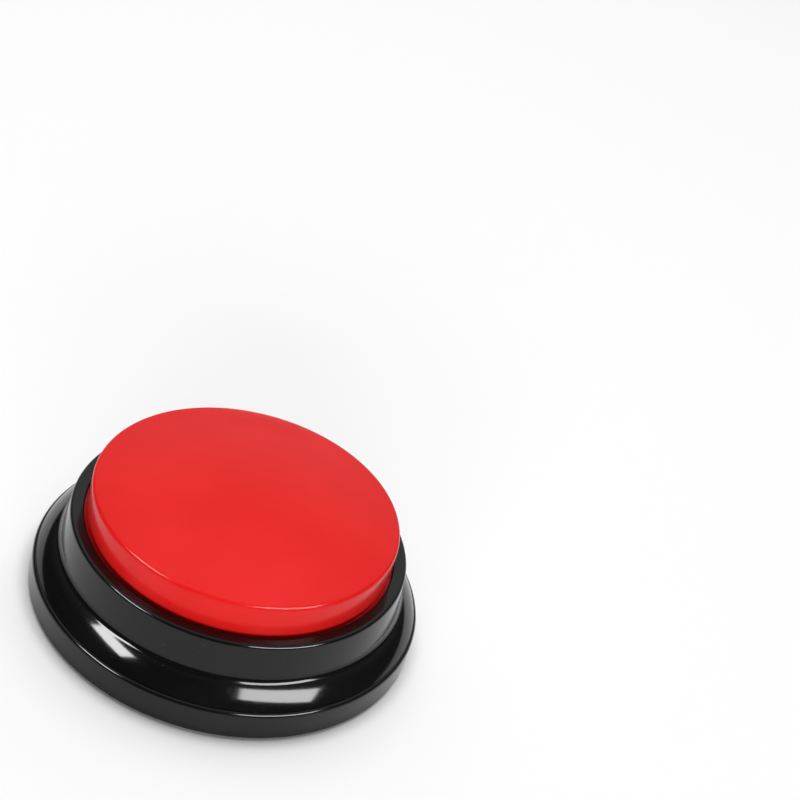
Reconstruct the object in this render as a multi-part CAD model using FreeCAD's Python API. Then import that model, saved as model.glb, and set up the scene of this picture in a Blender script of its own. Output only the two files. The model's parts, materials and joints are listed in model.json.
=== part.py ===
"""Quiz buzzer: a round black stand with a large red button on top, in millimetres.

The origin is on the table at the centre of the stand and +Z points up. The button cap presses
down inside the housing against three springs and closes a small switch on the circuit board.
The stand holds two AAA cells behind a door and a loudspeaker that faces down through a grille.
"""
import FreeCAD, Part
import math
import os

from FreeCAD import Vector

# Button cap
CAP_RADIUS = 35.3
CAP_WALL = 2.0
CAP_CLEARANCE = 0.4
CAP_PROUD = 13.5
CAP_EDGE_FILLET = 1.2
CROWN_RADIUS = 110.0
SKIRT_STEP = 0.7
SKIRT_STEP_SINK = 0.1
FLANGE_WIDTH = 1.2
FLANGE_THICKNESS = 1.5
FLANGE_CLEARANCE = 0.3
LIP_GAP = 0.15
PRESS_TRAVEL = 2.5
STOP_GAP = 0.15

# Upper housing
WALL = 2.0
LIP_THICKNESS = 1.6
COLLAR_HEIGHT = 9.1
COLLAR_DRAFT = 0.8
RIM_FILLET = 0.9
RIM_SLOPE = 0.25
BORE_CHAMFER = 0.3
COVE_FILLET = 1.6
SHOULDER_WIDTH = 4.6
SHOULDER_HEIGHT = 4.9
SHOULDER_RADIUS = 16.0
TONGUE_DEPTH = 2.0
TONGUE_WALL = 1.6
TONGUE_CLEARANCE = 0.2

# Base tray
FOOT_PROUD = 0.6
FLOOR = 2.0
BAND_HEIGHT = 7.1
BAND_STEP = 0.8
BAND_EDGE = 1.0
BAND_FOOT_EDGE = 0.5
REVEAL_HEIGHT = 0.2
REVEAL_DEPTH = 0.7

# Rubber feet
FOOT_RADIUS = 4.0
FOOT_RECESS = 0.5
FOOT_CLEARANCE = 0.1
FOOT_INSET = 6.5
FOOT_MIN_ANGLE = 50.0
FOOT_DOOR_SPACE = 2.0
FOOT_EDGE = 0.25

# Screws: radius and height of the head, radius and length of the shank
HOUSING_SCREW = {"head_r": 2.5, "head_h": 1.7, "shank_r": 1.3, "length": 8.0}
DECK_SCREW = {"head_r": 2.2, "head_h": 1.6, "shank_r": 1.0, "length": 8.0}
BOARD_SCREW = {"head_r": 1.8, "head_h": 1.2, "shank_r": 0.8, "length": 4.0}
DOOR_SCREW = {"head_r": 2.0, "head_h": 0.9, "shank_r": 1.1, "length": 3.1}
RECESS_DEPTH_SHARE = 0.6
RECESS_SLOT_SHARE = 0.24
THREAD_GAP = 0.02
SHANK_CLEARANCE = 0.3
HEAD_CLEARANCE = 0.3
PILLAR_WALL = 1.5
PILLAR_GAP = 0.1
BOSS_ANGLES = (0, 90, 180, 270)
BOSS_SKIN = 0.4

# Cells and their bay
CELL_RADIUS = 5.25
CELL_LENGTH = 44.5
CELL_NUB_RADIUS = 1.9
CELL_NUB_HEIGHT = 0.8
CELL_EDGE = 0.4
CELL_CLEARANCE = 0.4
CELL_ROOM = 0.3
BAY_WALL = 1.2
BAY_CLEARANCE = 0.4
BAY_SPRING_ROOM = 5.65
BAY_TOP_Y = 1.35
CONTACT_THICKNESS = 0.3
CONTACT_WIDTH = 7.0
CONTACT_MARGIN = 1.1
TAB_WIDTH = 2.5
TAB_ABOVE_DECK = 1.8
TAB_CLEARANCE = 0.4
CONTACT_WIRE = 0.3
CONTACT_COIL_BASE = 4.0
CONTACT_COIL_TIP = 2.2
CONTACT_TURNS = 3

# Battery door
DOOR_THICKNESS = 1.6
DOOR_GAP = 0.2
DOOR_REVEAL = 0.3
DOOR_ARM_X = 15.0
DOOR_ARM_WIDTH = 3.0
DOOR_ARM_REACH = 1.6
DOOR_ARM_RISE = 1.4
DOOR_ARM_THICKNESS = 0.8
DOOR_NECK_BACK = 0.4
DOOR_NECK_FRONT = 0.6
DOOR_NOTCH_ROOM = 0.5
DOOR_EAR_WALL = 0.9
DOOR_SCREW_SPACE = 0.45

# Inner deck
DECK_GAP = 0.4
DECK_THICKNESS = 1.4
DECK_SIDE_ROOM = 0.8
DECK_SCREW_SPOTS = ((28.5, 4.5), (-28.5, 4.5), (12.0, -27.2), (-12.0, -27.2))

# Guide pins and return springs
PIN_RADIUS = 1.5
PIN_FIT = 0.1
PIN_ENGAGE = 4.5
SLEEVE_WALL = 0.7
SPRING_LENGTH = 10.2
SPRING_WIRE = 0.25
SPRING_TURNS = 6
SPRING_SIDE_ROOM = 0.3
SPRING_END_GAP = 0.02
SPRING_SEAT_EDGE = 0.7
SPRING_SEAT_THICKNESS = 1.5
PIN_CIRCLE = 27.0
PIN_ANGLES = (30, 150, 270)

# Circuit board and switch
BOARD_SIDE = 34.0
BOARD_THICKNESS = 1.6
BOARD_CORNER = 1.5
BOARD_HOLE_INSET = 3.0
BOARD_SPRING_CLEARANCE = 0.4
STANDOFF_HEIGHT = 1.5
STANDOFF_RADIUS = 2.1
SWITCH_SIDE = 6.0
SWITCH_HEIGHT = 3.5
SWITCH_EDGE = 0.4
SWITCH_LEG = 0.6
STEM_RADIUS = 1.7
STEM_HEIGHT = 1.2
STEM_FIT = 0.05
STEM_DEPTH = 1.0
STEM_TRAVEL = 0.25
TOUCH_GAP = 0.05
PLUNGER_RADIUS = 2.6
CHIP_SPOT = (8.0, -7.0)
CHIP_RADIUS = 4.0
CHIP_HEIGHT = 1.4
CHIP_BASE = 0.2
RESISTOR_SPOTS = ((-7.0, 7.5), (-3.0, 7.5), (1.0, 7.5), (-9.0, -2.0))
RESISTOR_SIZE = (1.6, 3.2, 0.6)
CAPACITOR_SPOT = (-9.5, -9.0)
CAPACITOR_RADIUS = 2.5
CAPACITOR_HEIGHT = 5.4
PAD_INSET = 2.5
PAD_HEIGHT = 0.05

# Loudspeaker, its heights measured up from the floor of the tray
SPEAKER_RADIUS = 11.0
SPEAKER_Y = 20.0
SPEAKER_HEIGHT = 4.0
SPEAKER_SHEET = 0.6
SPEAKER_FRONT_WIDTH = 1.6
SPEAKER_BACK_HOLE = 4.6
SPEAKER_RING_CLEARANCE = 0.2
SPEAKER_RING_WALL = 1.2
SPEAKER_RING_HEIGHT = 2.6
MAGNET_RADIUS = 6.5
MAGNET_HEIGHT = 3.2
COIL_GAP_INNER = 2.5
COIL_GAP_OUTER = 3.6
COIL_GAP_DEPTH = 2.2
COIL_CLEARANCE = 0.3
COIL_REACH = 1.4
CONE_SHEET = 0.3
CONE_EDGE_ROOM = 0.4
CONE_EDGE_Z = 1.2
CONE_NECK_Z = 2.6
DUST_CAP_RISE = 0.7
GRILLE_PITCH = 3.6
GRILLE_HOLE = 0.9

# Wires
WIRE_RADIUS = 0.45
WIRE_BEND = 2.8
WIRE_TOP_ABOVE_BOARD = 5.4
WIRE_TAB_GAP = 0.05
SPEAKER_WIRE_X = 4.0
SPEAKER_WIRE_BACK = 8.4
WIRE_SLOT_ROOM = 1.2
BLACK_WIRE_PAD_Y = -8.5
RED_WIRE_PAD_Y = -2.0

# Radii that follow from the cap
BORE_RADIUS = CAP_RADIUS + CAP_CLEARANCE
FLANGE_RADIUS = CAP_RADIUS + FLANGE_WIDTH
COLLAR_INNER = FLANGE_RADIUS + FLANGE_CLEARANCE
RIM_RADIUS = COLLAR_INNER + WALL
COLLAR_FOOT_RADIUS = RIM_RADIUS + COLLAR_DRAFT
SHOULDER_EDGE_RADIUS = COLLAR_FOOT_RADIUS + SHOULDER_WIDTH
BAND_RADIUS = SHOULDER_EDGE_RADIUS + BAND_STEP
BAND_INNER = BAND_RADIUS - WALL
BOSS_RADIUS = HOUSING_SCREW["shank_r"] + THREAD_GAP + PILLAR_WALL
BOSS_CIRCLE = RIM_RADIUS - BOSS_SKIN - BOSS_RADIUS
FOOT_CIRCLE = BAND_RADIUS - FOOT_INSET
CAP_INNER = CAP_RADIUS - CAP_WALL
NECK_RADIUS = CAP_RADIUS - SKIRT_STEP
DECK_RADIUS = CAP_INNER - DECK_SIDE_ROOM

# Heights of the shell
FLOOR_TOP = FOOT_PROUD + FLOOR
BAND_TOP = FOOT_PROUD + BAND_HEIGHT
HOUSING_BOTTOM = BAND_TOP + REVEAL_HEIGHT
COVE_Z = HOUSING_BOTTOM + SHOULDER_HEIGHT
RIM_Z = COVE_Z + COLLAR_HEIGHT
LIP_BOTTOM = RIM_Z - LIP_THICKNESS
FLANGE_TOP = LIP_BOTTOM - LIP_GAP
SKIRT_BOTTOM = FLANGE_TOP - FLANGE_THICKNESS
CAP_APEX = RIM_Z + CAP_PROUD
SKIRT_STEP_Z = RIM_Z - SKIRT_STEP_SINK
CROWN_CENTRE = CAP_APEX - CROWN_RADIUS
BOSS_TOP = COVE_Z + PILLAR_WALL
BOSS_BOTTOM = HOUSING_BOTTOM - TONGUE_DEPTH

# Heights of what stands on the floor
DOOR_TOP = FOOT_PROUD + DOOR_THICKNESS
CELL_Z = DOOR_TOP + CELL_ROOM + CELL_RADIUS
BAY_CEILING = CELL_Z + CELL_RADIUS + CELL_ROOM
BAY_TOP = BAY_CEILING + BAY_WALL
DECK_BOTTOM = BAY_TOP + DECK_GAP
DECK_TOP = DECK_BOTTOM + DECK_THICKNESS
BOARD_BOTTOM = DECK_TOP + STANDOFF_HEIGHT
BOARD_TOP = BOARD_BOTTOM + BOARD_THICKNESS
SWITCH_TOP = BOARD_TOP + SWITCH_HEIGHT
STEM_TOP = SWITCH_TOP + STEM_HEIGHT
PLUNGER_BOTTOM = STEM_TOP + PRESS_TRAVEL - STEM_TRAVEL + TOUCH_GAP
SPRING_SEAT_Z = DECK_TOP + SPRING_LENGTH
SLEEVE_TOP = SPRING_SEAT_Z - PRESS_TRAVEL - STOP_GAP
SLEEVE_RADIUS = PIN_RADIUS + PIN_FIT + SLEEVE_WALL
SPRING_RADIUS = SLEEVE_RADIUS + SPRING_SIDE_ROOM + SPRING_WIRE
SPRING_SEAT_RADIUS = SPRING_RADIUS + SPRING_WIRE + SPRING_SEAT_EDGE

# Cell bay, its long side along X
BAY_HALF_LENGTH = (CELL_LENGTH + BAY_SPRING_ROOM + CONTACT_THICKNESS * 2) / 2
CELL_PITCH = 2 * CELL_RADIUS + CELL_CLEARANCE + CELL_ROOM
CELL_1_Y = BAY_TOP_Y - BAY_WALL - CELL_CLEARANCE - CELL_RADIUS
CELL_2_Y = CELL_1_Y - CELL_PITCH
BAY_MAX_Y = BAY_TOP_Y - BAY_WALL
BAY_MIN_Y = CELL_2_Y - CELL_RADIUS - CELL_CLEARANCE
CONTACT_X = BAY_HALF_LENGTH - CONTACT_THICKNESS
TAB_TOP = DECK_TOP + TAB_ABOVE_DECK

# Door opening in the floor
HATCH_HALF_X = BAY_HALF_LENGTH - DOOR_REVEAL
HATCH_MAX_Y = BAY_MAX_Y - DOOR_REVEAL
HATCH_MIN_Y = BAY_MIN_Y - DOOR_REVEAL
HINGE_Y = HATCH_MIN_Y + DOOR_GAP + DOOR_THICKNESS / 2
HINGE_Z = FOOT_PROUD + DOOR_THICKNESS / 2
FOOT_DOOR_ANGLE = math.degrees(math.asin((FOOT_RADIUS + FOOT_DOOR_SPACE - HATCH_MIN_Y) / FOOT_CIRCLE))
FOOT_ANGLE = max(FOOT_MIN_ANGLE, FOOT_DOOR_ANGLE)
FOOT_ANGLES = (FOOT_ANGLE, 180 - FOOT_ANGLE, 180 + FOOT_ANGLE, 360 - FOOT_ANGLE)
DOOR_EAR_RADIUS = DOOR_SCREW["head_r"] + DOOR_EAR_WALL
DOOR_SCREW_Y = BAY_TOP_Y + DOOR_SCREW["shank_r"] + SHANK_CLEARANCE + PILLAR_WALL + DOOR_SCREW_SPACE

UP = Vector(0, 0, 1)
RIGHT = Vector(1, 0, 0)
AXIS_POINT = Vector(0, 0, 0)


def polar(radius, degrees):
    """Point at a radius and angle about the vertical axis."""
    angle = math.radians(degrees)
    return radius * math.cos(angle), radius * math.sin(angle)


def cylinder(x, y, low, high, radius):
    """Upright cylinder between two heights."""
    return Part.makeCylinder(radius, high - low, Vector(x, y, low), UP)


def tube(x, y, low, high, outer, inner):
    """Upright ring between two heights."""
    return cylinder(x, y, low, high, outer).cut(cylinder(x, y, low, high, inner))


def block(low, high):
    """Box between its lowest and highest corners."""
    size = Vector(*high) - Vector(*low)
    return Part.makeBox(size.x, size.y, size.z, Vector(*low))


def line(start, end):
    """Straight edge of a profile, from and to (radius, height)."""
    return Part.LineSegment(Vector(start[0], 0, start[1]), Vector(end[0], 0, end[1])).toShape()


def arc(start, middle, end):
    """Arc edge of a profile through three points (radius, height)."""
    points = [Vector(point[0], 0, point[1]) for point in (start, middle, end)]
    return Part.Arc(*points).toShape()


def turned(edges):
    """Solid of revolution of a closed profile about the vertical axis."""
    outline = Part.Wire(Part.sortEdges(edges)[0])
    return Part.Face(outline).revolve(AXIS_POINT, UP, 360)


def turned_outline(points):
    """Solid of revolution of a closed outline with straight sides."""
    ends = points[1:] + points[:1]
    return turned([line(start, end) for start, end in zip(points, ends)])


def on_circle(centre, radius, degrees):
    """Point of a profile circle at an angle from the outward direction."""
    angle = math.radians(degrees)
    return centre[0] + radius * math.cos(angle), centre[1] + radius * math.sin(angle)


def fused(shapes):
    """One solid from pieces that meet or overlap."""
    first, *others = shapes
    return first.multiFuse(others).removeSplitter() if others else first


def cut_all(shape, tools):
    """Shape with every tool taken out of it."""
    return shape.cut(Part.makeCompound(tools)) if tools else shape


def crown_edges(radius, corner_radius, crown_radius):
    """Side top, rounded corner and crown of the cap, for one offset of its wall.

    The corner circle touches the vertical side and the inside of the crown sphere.
    """
    corner_r = radius - corner_radius
    corner_z = CROWN_CENTRE + math.sqrt((crown_radius - corner_radius) ** 2 - corner_r ** 2)
    corner = (corner_r, corner_z)
    meet_angle = math.degrees(math.atan2(corner_z - CROWN_CENTRE, corner_r))
    side = (radius, corner_z)
    meet = on_circle(corner, corner_radius, meet_angle)
    apex = (0, CROWN_CENTRE + crown_radius)
    half_way = on_circle((0, CROWN_CENTRE), crown_radius, (meet_angle + 90) / 2)
    corner_arc = arc(side, on_circle(corner, corner_radius, meet_angle / 2), meet)
    return side, apex, [corner_arc, arc(meet, half_way, apex)]


def cap_ceiling(radius):
    """Height of the underside of the crown at a radius."""
    inner = CROWN_RADIUS - CAP_WALL
    return CROWN_CENTRE + math.sqrt(inner ** 2 - radius ** 2)


def button_cap():
    """Domed cap with its stepped skirt, catching flange, plunger and guide pins."""
    side, apex, outer = crown_edges(CAP_RADIUS, CAP_EDGE_FILLET, CROWN_RADIUS)
    inner_fillet = CAP_EDGE_FILLET - CAP_WALL / 2
    step_centre = (NECK_RADIUS, SKIRT_STEP_Z + SKIRT_STEP)
    step_top = (CAP_RADIUS, SKIRT_STEP_Z + SKIRT_STEP)
    in_side, in_apex, inner = crown_edges(CAP_INNER, inner_fillet, CROWN_RADIUS - CAP_WALL)
    shell = turned(outer + inner + [
        line(apex, in_apex),
        line(in_side, (CAP_INNER, SKIRT_BOTTOM)),
        line((CAP_INNER, SKIRT_BOTTOM), (FLANGE_RADIUS, SKIRT_BOTTOM)),
        line((FLANGE_RADIUS, SKIRT_BOTTOM), (FLANGE_RADIUS, FLANGE_TOP)),
        line((FLANGE_RADIUS, FLANGE_TOP), (NECK_RADIUS, FLANGE_TOP)),
        line((NECK_RADIUS, FLANGE_TOP), (NECK_RADIUS, SKIRT_STEP_Z)),
        arc((NECK_RADIUS, SKIRT_STEP_Z), on_circle(step_centre, SKIRT_STEP, -45), step_top),
        line(step_top, side),
    ])
    plunger = cylinder(0, 0, PLUNGER_BOTTOM, CAP_APEX - CAP_WALL / 2, PLUNGER_RADIUS)
    posts = []
    for degrees in PIN_ANGLES:
        x, y = polar(PIN_CIRCLE, degrees)
        top = cap_ceiling(PIN_CIRCLE) + CAP_WALL / 2
        seat_top = SPRING_SEAT_Z + SPRING_SEAT_THICKNESS
        posts.append(cylinder(x, y, SLEEVE_TOP - PIN_ENGAGE, top, PIN_RADIUS))
        posts.append(cylinder(x, y, SPRING_SEAT_Z, seat_top, SPRING_SEAT_RADIUS))
    return fused([shell, plunger] + posts)


def shoulder_centre():
    """Centre of the shoulder's arc, which bulges out between its two ends."""
    outer = (SHOULDER_EDGE_RADIUS, HOUSING_BOTTOM)
    upper = (COLLAR_FOOT_RADIUS, COVE_Z)
    chord = (upper[0] - outer[0], upper[1] - outer[1])
    length = math.hypot(*chord)
    reach = math.sqrt(SHOULDER_RADIUS ** 2 - (length / 2) ** 2)
    middle = ((outer[0] + upper[0]) / 2, (outer[1] + upper[1]) / 2)
    return middle[0] - reach * chord[1] / length, middle[1] + reach * chord[0] / length


def shoulder_point(centre, radius, height):
    """Point on one of the shoulder's arcs at a height."""
    return centre[0] + math.sqrt(radius ** 2 - (height - centre[1]) ** 2), height


def shoulder_arc(centre, radius, low, high):
    """Edge of one of the shoulder's arcs between two heights."""
    points = [shoulder_point(centre, radius, z) for z in (low, (low + high) / 2, high)]
    return arc(*points)


def housing_shell():
    """Turned wall of the housing: tongue, convex shoulder, collar and inward lip."""
    centre = shoulder_centre()
    inner_radius = SHOULDER_RADIUS - WALL
    join_z = centre[1] + math.sqrt(inner_radius ** 2 - (COLLAR_INNER - centre[0]) ** 2)
    inner_foot = shoulder_point(centre, inner_radius, HOUSING_BOTTOM)
    tongue_outer = BAND_INNER - TONGUE_CLEARANCE
    tongue_inner = tongue_outer - TONGUE_WALL
    bore_top = (BORE_RADIUS, RIM_Z - RIM_SLOPE - BORE_CHAMFER)
    bore_edge = (BORE_RADIUS + BORE_CHAMFER, RIM_Z - RIM_SLOPE)
    profile = [
        shoulder_arc(centre, SHOULDER_RADIUS, HOUSING_BOTTOM, COVE_Z),
        line((COLLAR_FOOT_RADIUS, COVE_Z), (RIM_RADIUS, RIM_Z)),
        line((RIM_RADIUS, RIM_Z), bore_edge),
        line(bore_edge, bore_top),
        line(bore_top, (BORE_RADIUS, LIP_BOTTOM)),
        line((BORE_RADIUS, LIP_BOTTOM), (COLLAR_INNER, LIP_BOTTOM)),
        line((COLLAR_INNER, LIP_BOTTOM), (COLLAR_INNER, join_z)),
        shoulder_arc(centre, inner_radius, HOUSING_BOTTOM, join_z),
        line(inner_foot, (tongue_inner, HOUSING_BOTTOM)),
        line((tongue_inner, HOUSING_BOTTOM), (tongue_inner, BOSS_BOTTOM)),
        line((tongue_inner, BOSS_BOTTOM), (tongue_outer, BOSS_BOTTOM)),
        line((tongue_outer, BOSS_BOTTOM), (tongue_outer, HOUSING_BOTTOM)),
        line((tongue_outer, HOUSING_BOTTOM), (SHOULDER_EDGE_RADIUS, HOUSING_BOTTOM)),
    ]
    shell = turned(profile)
    cove = ring_edge(shell, COLLAR_FOOT_RADIUS, COVE_Z)
    shell = shell.makeFillet(COVE_FILLET, [cove])
    rim = ring_edge(shell, RIM_RADIUS, RIM_Z)
    return shell.makeFillet(RIM_FILLET, [rim])


def ring_edge(shape, radius, height):
    """Circular edge of a turned shape at a radius and height."""
    for edge in shape.Edges:
        if isinstance(edge.Curve, Part.Circle) and math.isclose(edge.Curve.Radius, radius, abs_tol=1e-6):
            if math.isclose(edge.Curve.Center.z, height, abs_tol=1e-6):
                return edge
    raise ValueError(f"no edge at radius {radius} and height {height}")


def upper_housing():
    """Housing shell with the four bosses that its screws bite into."""
    pieces = [housing_shell()]
    bores = []
    screw_top = housing_screw_seat() + HOUSING_SCREW["length"]
    for degrees in BOSS_ANGLES:
        x, y = polar(BOSS_CIRCLE, degrees)
        pilot = HOUSING_SCREW["shank_r"] + THREAD_GAP
        pieces.append(cylinder(x, y, BOSS_BOTTOM, BOSS_TOP, BOSS_RADIUS))
        bores.append(cylinder(x, y, BOSS_BOTTOM, screw_top + THREAD_GAP, pilot))
    return cut_all(fused(pieces), bores)


def housing_screw_seat():
    """Height of the shelf that the heads of the housing screws press against."""
    return FOOT_PROUD + HOUSING_SCREW["head_h"] + WALL / 2


def tray_shell():
    """Turned wall and floor of the tray, with a shallow reveal under the housing."""
    seat_outer = SHOULDER_EDGE_RADIUS - REVEAL_DEPTH
    edge_centre = (BAND_RADIUS - BAND_EDGE, BAND_TOP - BAND_EDGE)
    foot_z = FOOT_PROUD
    profile = [
        line((0, foot_z), (BAND_RADIUS - BAND_FOOT_EDGE, foot_z)),
        line((BAND_RADIUS - BAND_FOOT_EDGE, foot_z), (BAND_RADIUS, foot_z + BAND_FOOT_EDGE)),
        line((BAND_RADIUS, foot_z + BAND_FOOT_EDGE), (BAND_RADIUS, BAND_TOP - BAND_EDGE)),
        arc((BAND_RADIUS, BAND_TOP - BAND_EDGE), on_circle(edge_centre, BAND_EDGE, 45),
            (BAND_RADIUS - BAND_EDGE, BAND_TOP)),
        line((BAND_RADIUS - BAND_EDGE, BAND_TOP), (seat_outer, BAND_TOP)),
        line((seat_outer, BAND_TOP), (seat_outer, HOUSING_BOTTOM)),
        line((seat_outer, HOUSING_BOTTOM), (BAND_INNER, HOUSING_BOTTOM)),
        line((BAND_INNER, HOUSING_BOTTOM), (BAND_INNER, FLOOR_TOP)),
        line((BAND_INNER, FLOOR_TOP), (0, FLOOR_TOP)),
        line((0, FLOOR_TOP), (0, foot_z)),
    ]
    return turned(profile)


def door_outline(grow, low, high):
    """Plan of the battery door with its screw ear, grown by a gap, between two heights."""
    half_x = HATCH_HALF_X - DOOR_GAP + grow
    plate = block((-half_x, HINGE_Y, low), (half_x, HATCH_MAX_Y - DOOR_GAP + grow, high))
    ear_radius = DOOR_EAR_RADIUS + grow
    ear = cylinder(0, DOOR_SCREW_Y, low, high, ear_radius)
    neck = block((-ear_radius, HINGE_Y, low), (ear_radius, DOOR_SCREW_Y, high))
    return fused([plate, ear, neck])


def bay_walls():
    """Four walls and ceiling of the cell bay, clear of the collar and cut hollow later."""
    low = (-BAY_HALF_LENGTH - BAY_WALL, BAY_MIN_Y - BAY_WALL, FLOOR_TOP)
    high = (BAY_HALF_LENGTH + BAY_WALL, BAY_TOP_Y, BAY_TOP)
    inside_collar = cylinder(0, 0, FLOOR_TOP, BAY_TOP, COLLAR_INNER - BAY_CLEARANCE)
    return block(low, high).common(inside_collar)


def bay_cuts():
    """Space for the cells, the hatch in the floor, the door arms and the contact tabs."""
    hatch_low = (-HATCH_HALF_X, HATCH_MIN_Y, FOOT_PROUD)
    cuts = [
        block((-BAY_HALF_LENGTH, BAY_MIN_Y, FLOOR_TOP), (BAY_HALF_LENGTH, BAY_MAX_Y, BAY_CEILING)),
        block(hatch_low, (HATCH_HALF_X, HATCH_MAX_Y, FLOOR_TOP)),
        door_outline(DOOR_GAP, FOOT_PROUD, DOOR_TOP + DOOR_GAP),
    ]
    arm_radius = math.hypot(DOOR_ARM_REACH, DOOR_ARM_RISE + DOOR_ARM_THICKNESS)
    notch_half = DOOR_ARM_WIDTH / 2 + DOOR_GAP
    for side in (-1, 1):
        x = side * DOOR_ARM_X
        low = (x - notch_half, BAY_MIN_Y - BAY_WALL, FLOOR_TOP)
        high = (x + notch_half, BAY_MIN_Y, HINGE_Z + arm_radius + DOOR_NOTCH_ROOM)
        cuts.append(block(low, high))
    for y in (CELL_1_Y, CELL_2_Y):
        cuts.append(tab_slot(y, BAY_CEILING, BAY_TOP))
    return cuts


def tab_slot(y, low, high):
    """Slot that a contact's solder tab passes up through."""
    half = TAB_WIDTH / 2 + TAB_CLEARANCE
    start = CONTACT_X - TAB_CLEARANCE
    end = BAY_HALF_LENGTH + TAB_CLEARANCE
    return block((start, y - half, low), (end, y + half, high))


def grille_holes():
    """Rows of round sound holes in the floor under the cone."""
    reach = SPEAKER_RADIUS - SPEAKER_FRONT_WIDTH - GRILLE_HOLE
    rows = int(reach / GRILLE_PITCH) + 1
    row_step = GRILLE_PITCH * math.sin(math.radians(60))
    holes = []
    for row in range(-rows, rows + 1):
        shift = GRILLE_PITCH / 2 if row % 2 else 0
        for column in range(-rows - 1, rows + 2):
            x = column * GRILLE_PITCH + shift
            y = row * row_step
            if math.hypot(x, y) <= reach:
                holes.append(cylinder(x, SPEAKER_Y + y, FOOT_PROUD, FLOOR_TOP, GRILLE_HOLE))
    return holes


def base_tray():
    """Tray with its floor, cell bay, screw pillars, speaker ring, grille and foot recesses."""
    seat = housing_screw_seat()
    pieces = [tray_shell(), bay_walls()]
    cuts = bay_cuts() + grille_holes()
    head_hole = HOUSING_SCREW["head_r"] + HEAD_CLEARANCE
    shank_hole = HOUSING_SCREW["shank_r"] + SHANK_CLEARANCE
    for degrees in BOSS_ANGLES:
        x, y = polar(BOSS_CIRCLE, degrees)
        pieces.append(cylinder(x, y, FOOT_PROUD, BOSS_BOTTOM - PILLAR_GAP, head_hole + BAY_WALL))
        cuts.append(cylinder(x, y, FOOT_PROUD, seat, head_hole))
        cuts.append(cylinder(x, y, seat, BOSS_BOTTOM, shank_hole))
    pilot = DECK_SCREW["shank_r"] + THREAD_GAP
    for x, y in DECK_SCREW_SPOTS:
        pieces.append(cylinder(x, y, FLOOR_TOP, DECK_BOTTOM, pilot + PILLAR_WALL))
        deck_screw_tip = DECK_TOP - DECK_SCREW["length"]
        cuts.append(cylinder(x, y, deck_screw_tip - THREAD_GAP, DECK_BOTTOM, pilot))
    ring_inner = SPEAKER_RADIUS + SPEAKER_RING_CLEARANCE
    ring_top = FLOOR_TOP + SPEAKER_RING_HEIGHT
    pieces.append(tube(0, SPEAKER_Y, FLOOR_TOP, ring_top, ring_inner + SPEAKER_RING_WALL, ring_inner))
    door_pilot = DOOR_SCREW["shank_r"] + SHANK_CLEARANCE
    door_screw_top = DOOR_TOP + DOOR_SCREW["length"]
    pieces.append(cylinder(0, DOOR_SCREW_Y, FLOOR_TOP, door_screw_top + WALL, door_pilot + PILLAR_WALL))
    cuts.append(cylinder(0, DOOR_SCREW_Y, DOOR_TOP, door_screw_top, door_pilot))
    for degrees in FOOT_ANGLES:
        x, y = polar(FOOT_CIRCLE, degrees)
        recess_top = FOOT_PROUD + FOOT_RECESS
        cuts.append(cylinder(x, y, FOOT_PROUD, recess_top, FOOT_RADIUS + FOOT_CLEARANCE))
    return cut_all(fused(pieces), cuts)


def battery_door():
    """Flush door with a rounded hinge edge, two hooked arms and a screw ear."""
    half_x = HATCH_HALF_X - DOOR_GAP
    plate = door_outline(0, FOOT_PROUD, DOOR_TOP)
    start = Vector(-half_x, HINGE_Y, HINGE_Z)
    pieces = [plate, Part.makeCylinder(DOOR_THICKNESS / 2, 2 * half_x, start, RIGHT)]
    arm_low = HINGE_Z + DOOR_ARM_RISE
    arm_high = arm_low + DOOR_ARM_THICKNESS
    for side in (-1, 1):
        left = side * DOOR_ARM_X - DOOR_ARM_WIDTH / 2
        right = left + DOOR_ARM_WIDTH
        front = HINGE_Y + DOOR_NECK_FRONT
        pieces.append(block((left, HINGE_Y - DOOR_NECK_BACK, HINGE_Z), (right, front, arm_high)))
        pieces.append(block((left, HINGE_Y - DOOR_ARM_REACH, arm_low), (right, front, arm_high)))
    head_hole = DOOR_SCREW["head_r"] + THREAD_GAP
    shank_hole = DOOR_SCREW["shank_r"] + THREAD_GAP
    shelf = FOOT_PROUD + DOOR_SCREW["head_h"]
    holes = [
        cylinder(0, DOOR_SCREW_Y, FOOT_PROUD, shelf, head_hole),
        cylinder(0, DOOR_SCREW_Y, shelf, DOOR_TOP, shank_hole),
    ]
    return cut_all(fused(pieces), holes)


def screw(sizes, x, y, seat, direction):
    """Pan-head screw with a cross recess; the head lies on the far side of the seat."""
    head_end = seat - direction * sizes["head_h"]
    tip = seat + direction * sizes["length"]
    head = cylinder(x, y, min(seat, head_end), max(seat, head_end), sizes["head_r"])
    shank = cylinder(x, y, min(seat, tip), max(seat, tip), sizes["shank_r"])
    depth = sizes["head_h"] * RECESS_DEPTH_SHARE
    floor = head_end + direction * depth
    low = min(head_end, floor)
    high = max(head_end, floor)
    slot = sizes["head_r"] * RECESS_SLOT_SHARE
    arm = sizes["head_r"] - 2 * slot
    cross = [
        block((x - arm, y - slot, low), (x + arm, y + slot, high)),
        block((x - slot, y - arm, low), (x + slot, y + arm, high)),
    ]
    return cut_all(fused([head, shank]), cross)


def housing_screws():
    """Four screws driven up from under the tray."""
    spots = [polar(BOSS_CIRCLE, degrees) for degrees in BOSS_ANGLES]
    return [screw(HOUSING_SCREW, x, y, housing_screw_seat(), 1) for x, y in spots]


def deck_screws():
    """Four screws driven down through the deck into the tray's pillars."""
    return [screw(DECK_SCREW, x, y, DECK_TOP, -1) for x, y in DECK_SCREW_SPOTS]


def board_holes():
    """Places of the four screws at the board's corners."""
    reach = BOARD_SIDE / 2 - BOARD_HOLE_INSET
    return [(x, y) for x in (-reach, reach) for y in (-reach, reach)]


def board_screws():
    """Four small screws that hold the circuit board to the deck."""
    return [screw(BOARD_SCREW, x, y, BOARD_TOP, -1) for x, y in board_holes()]


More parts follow.
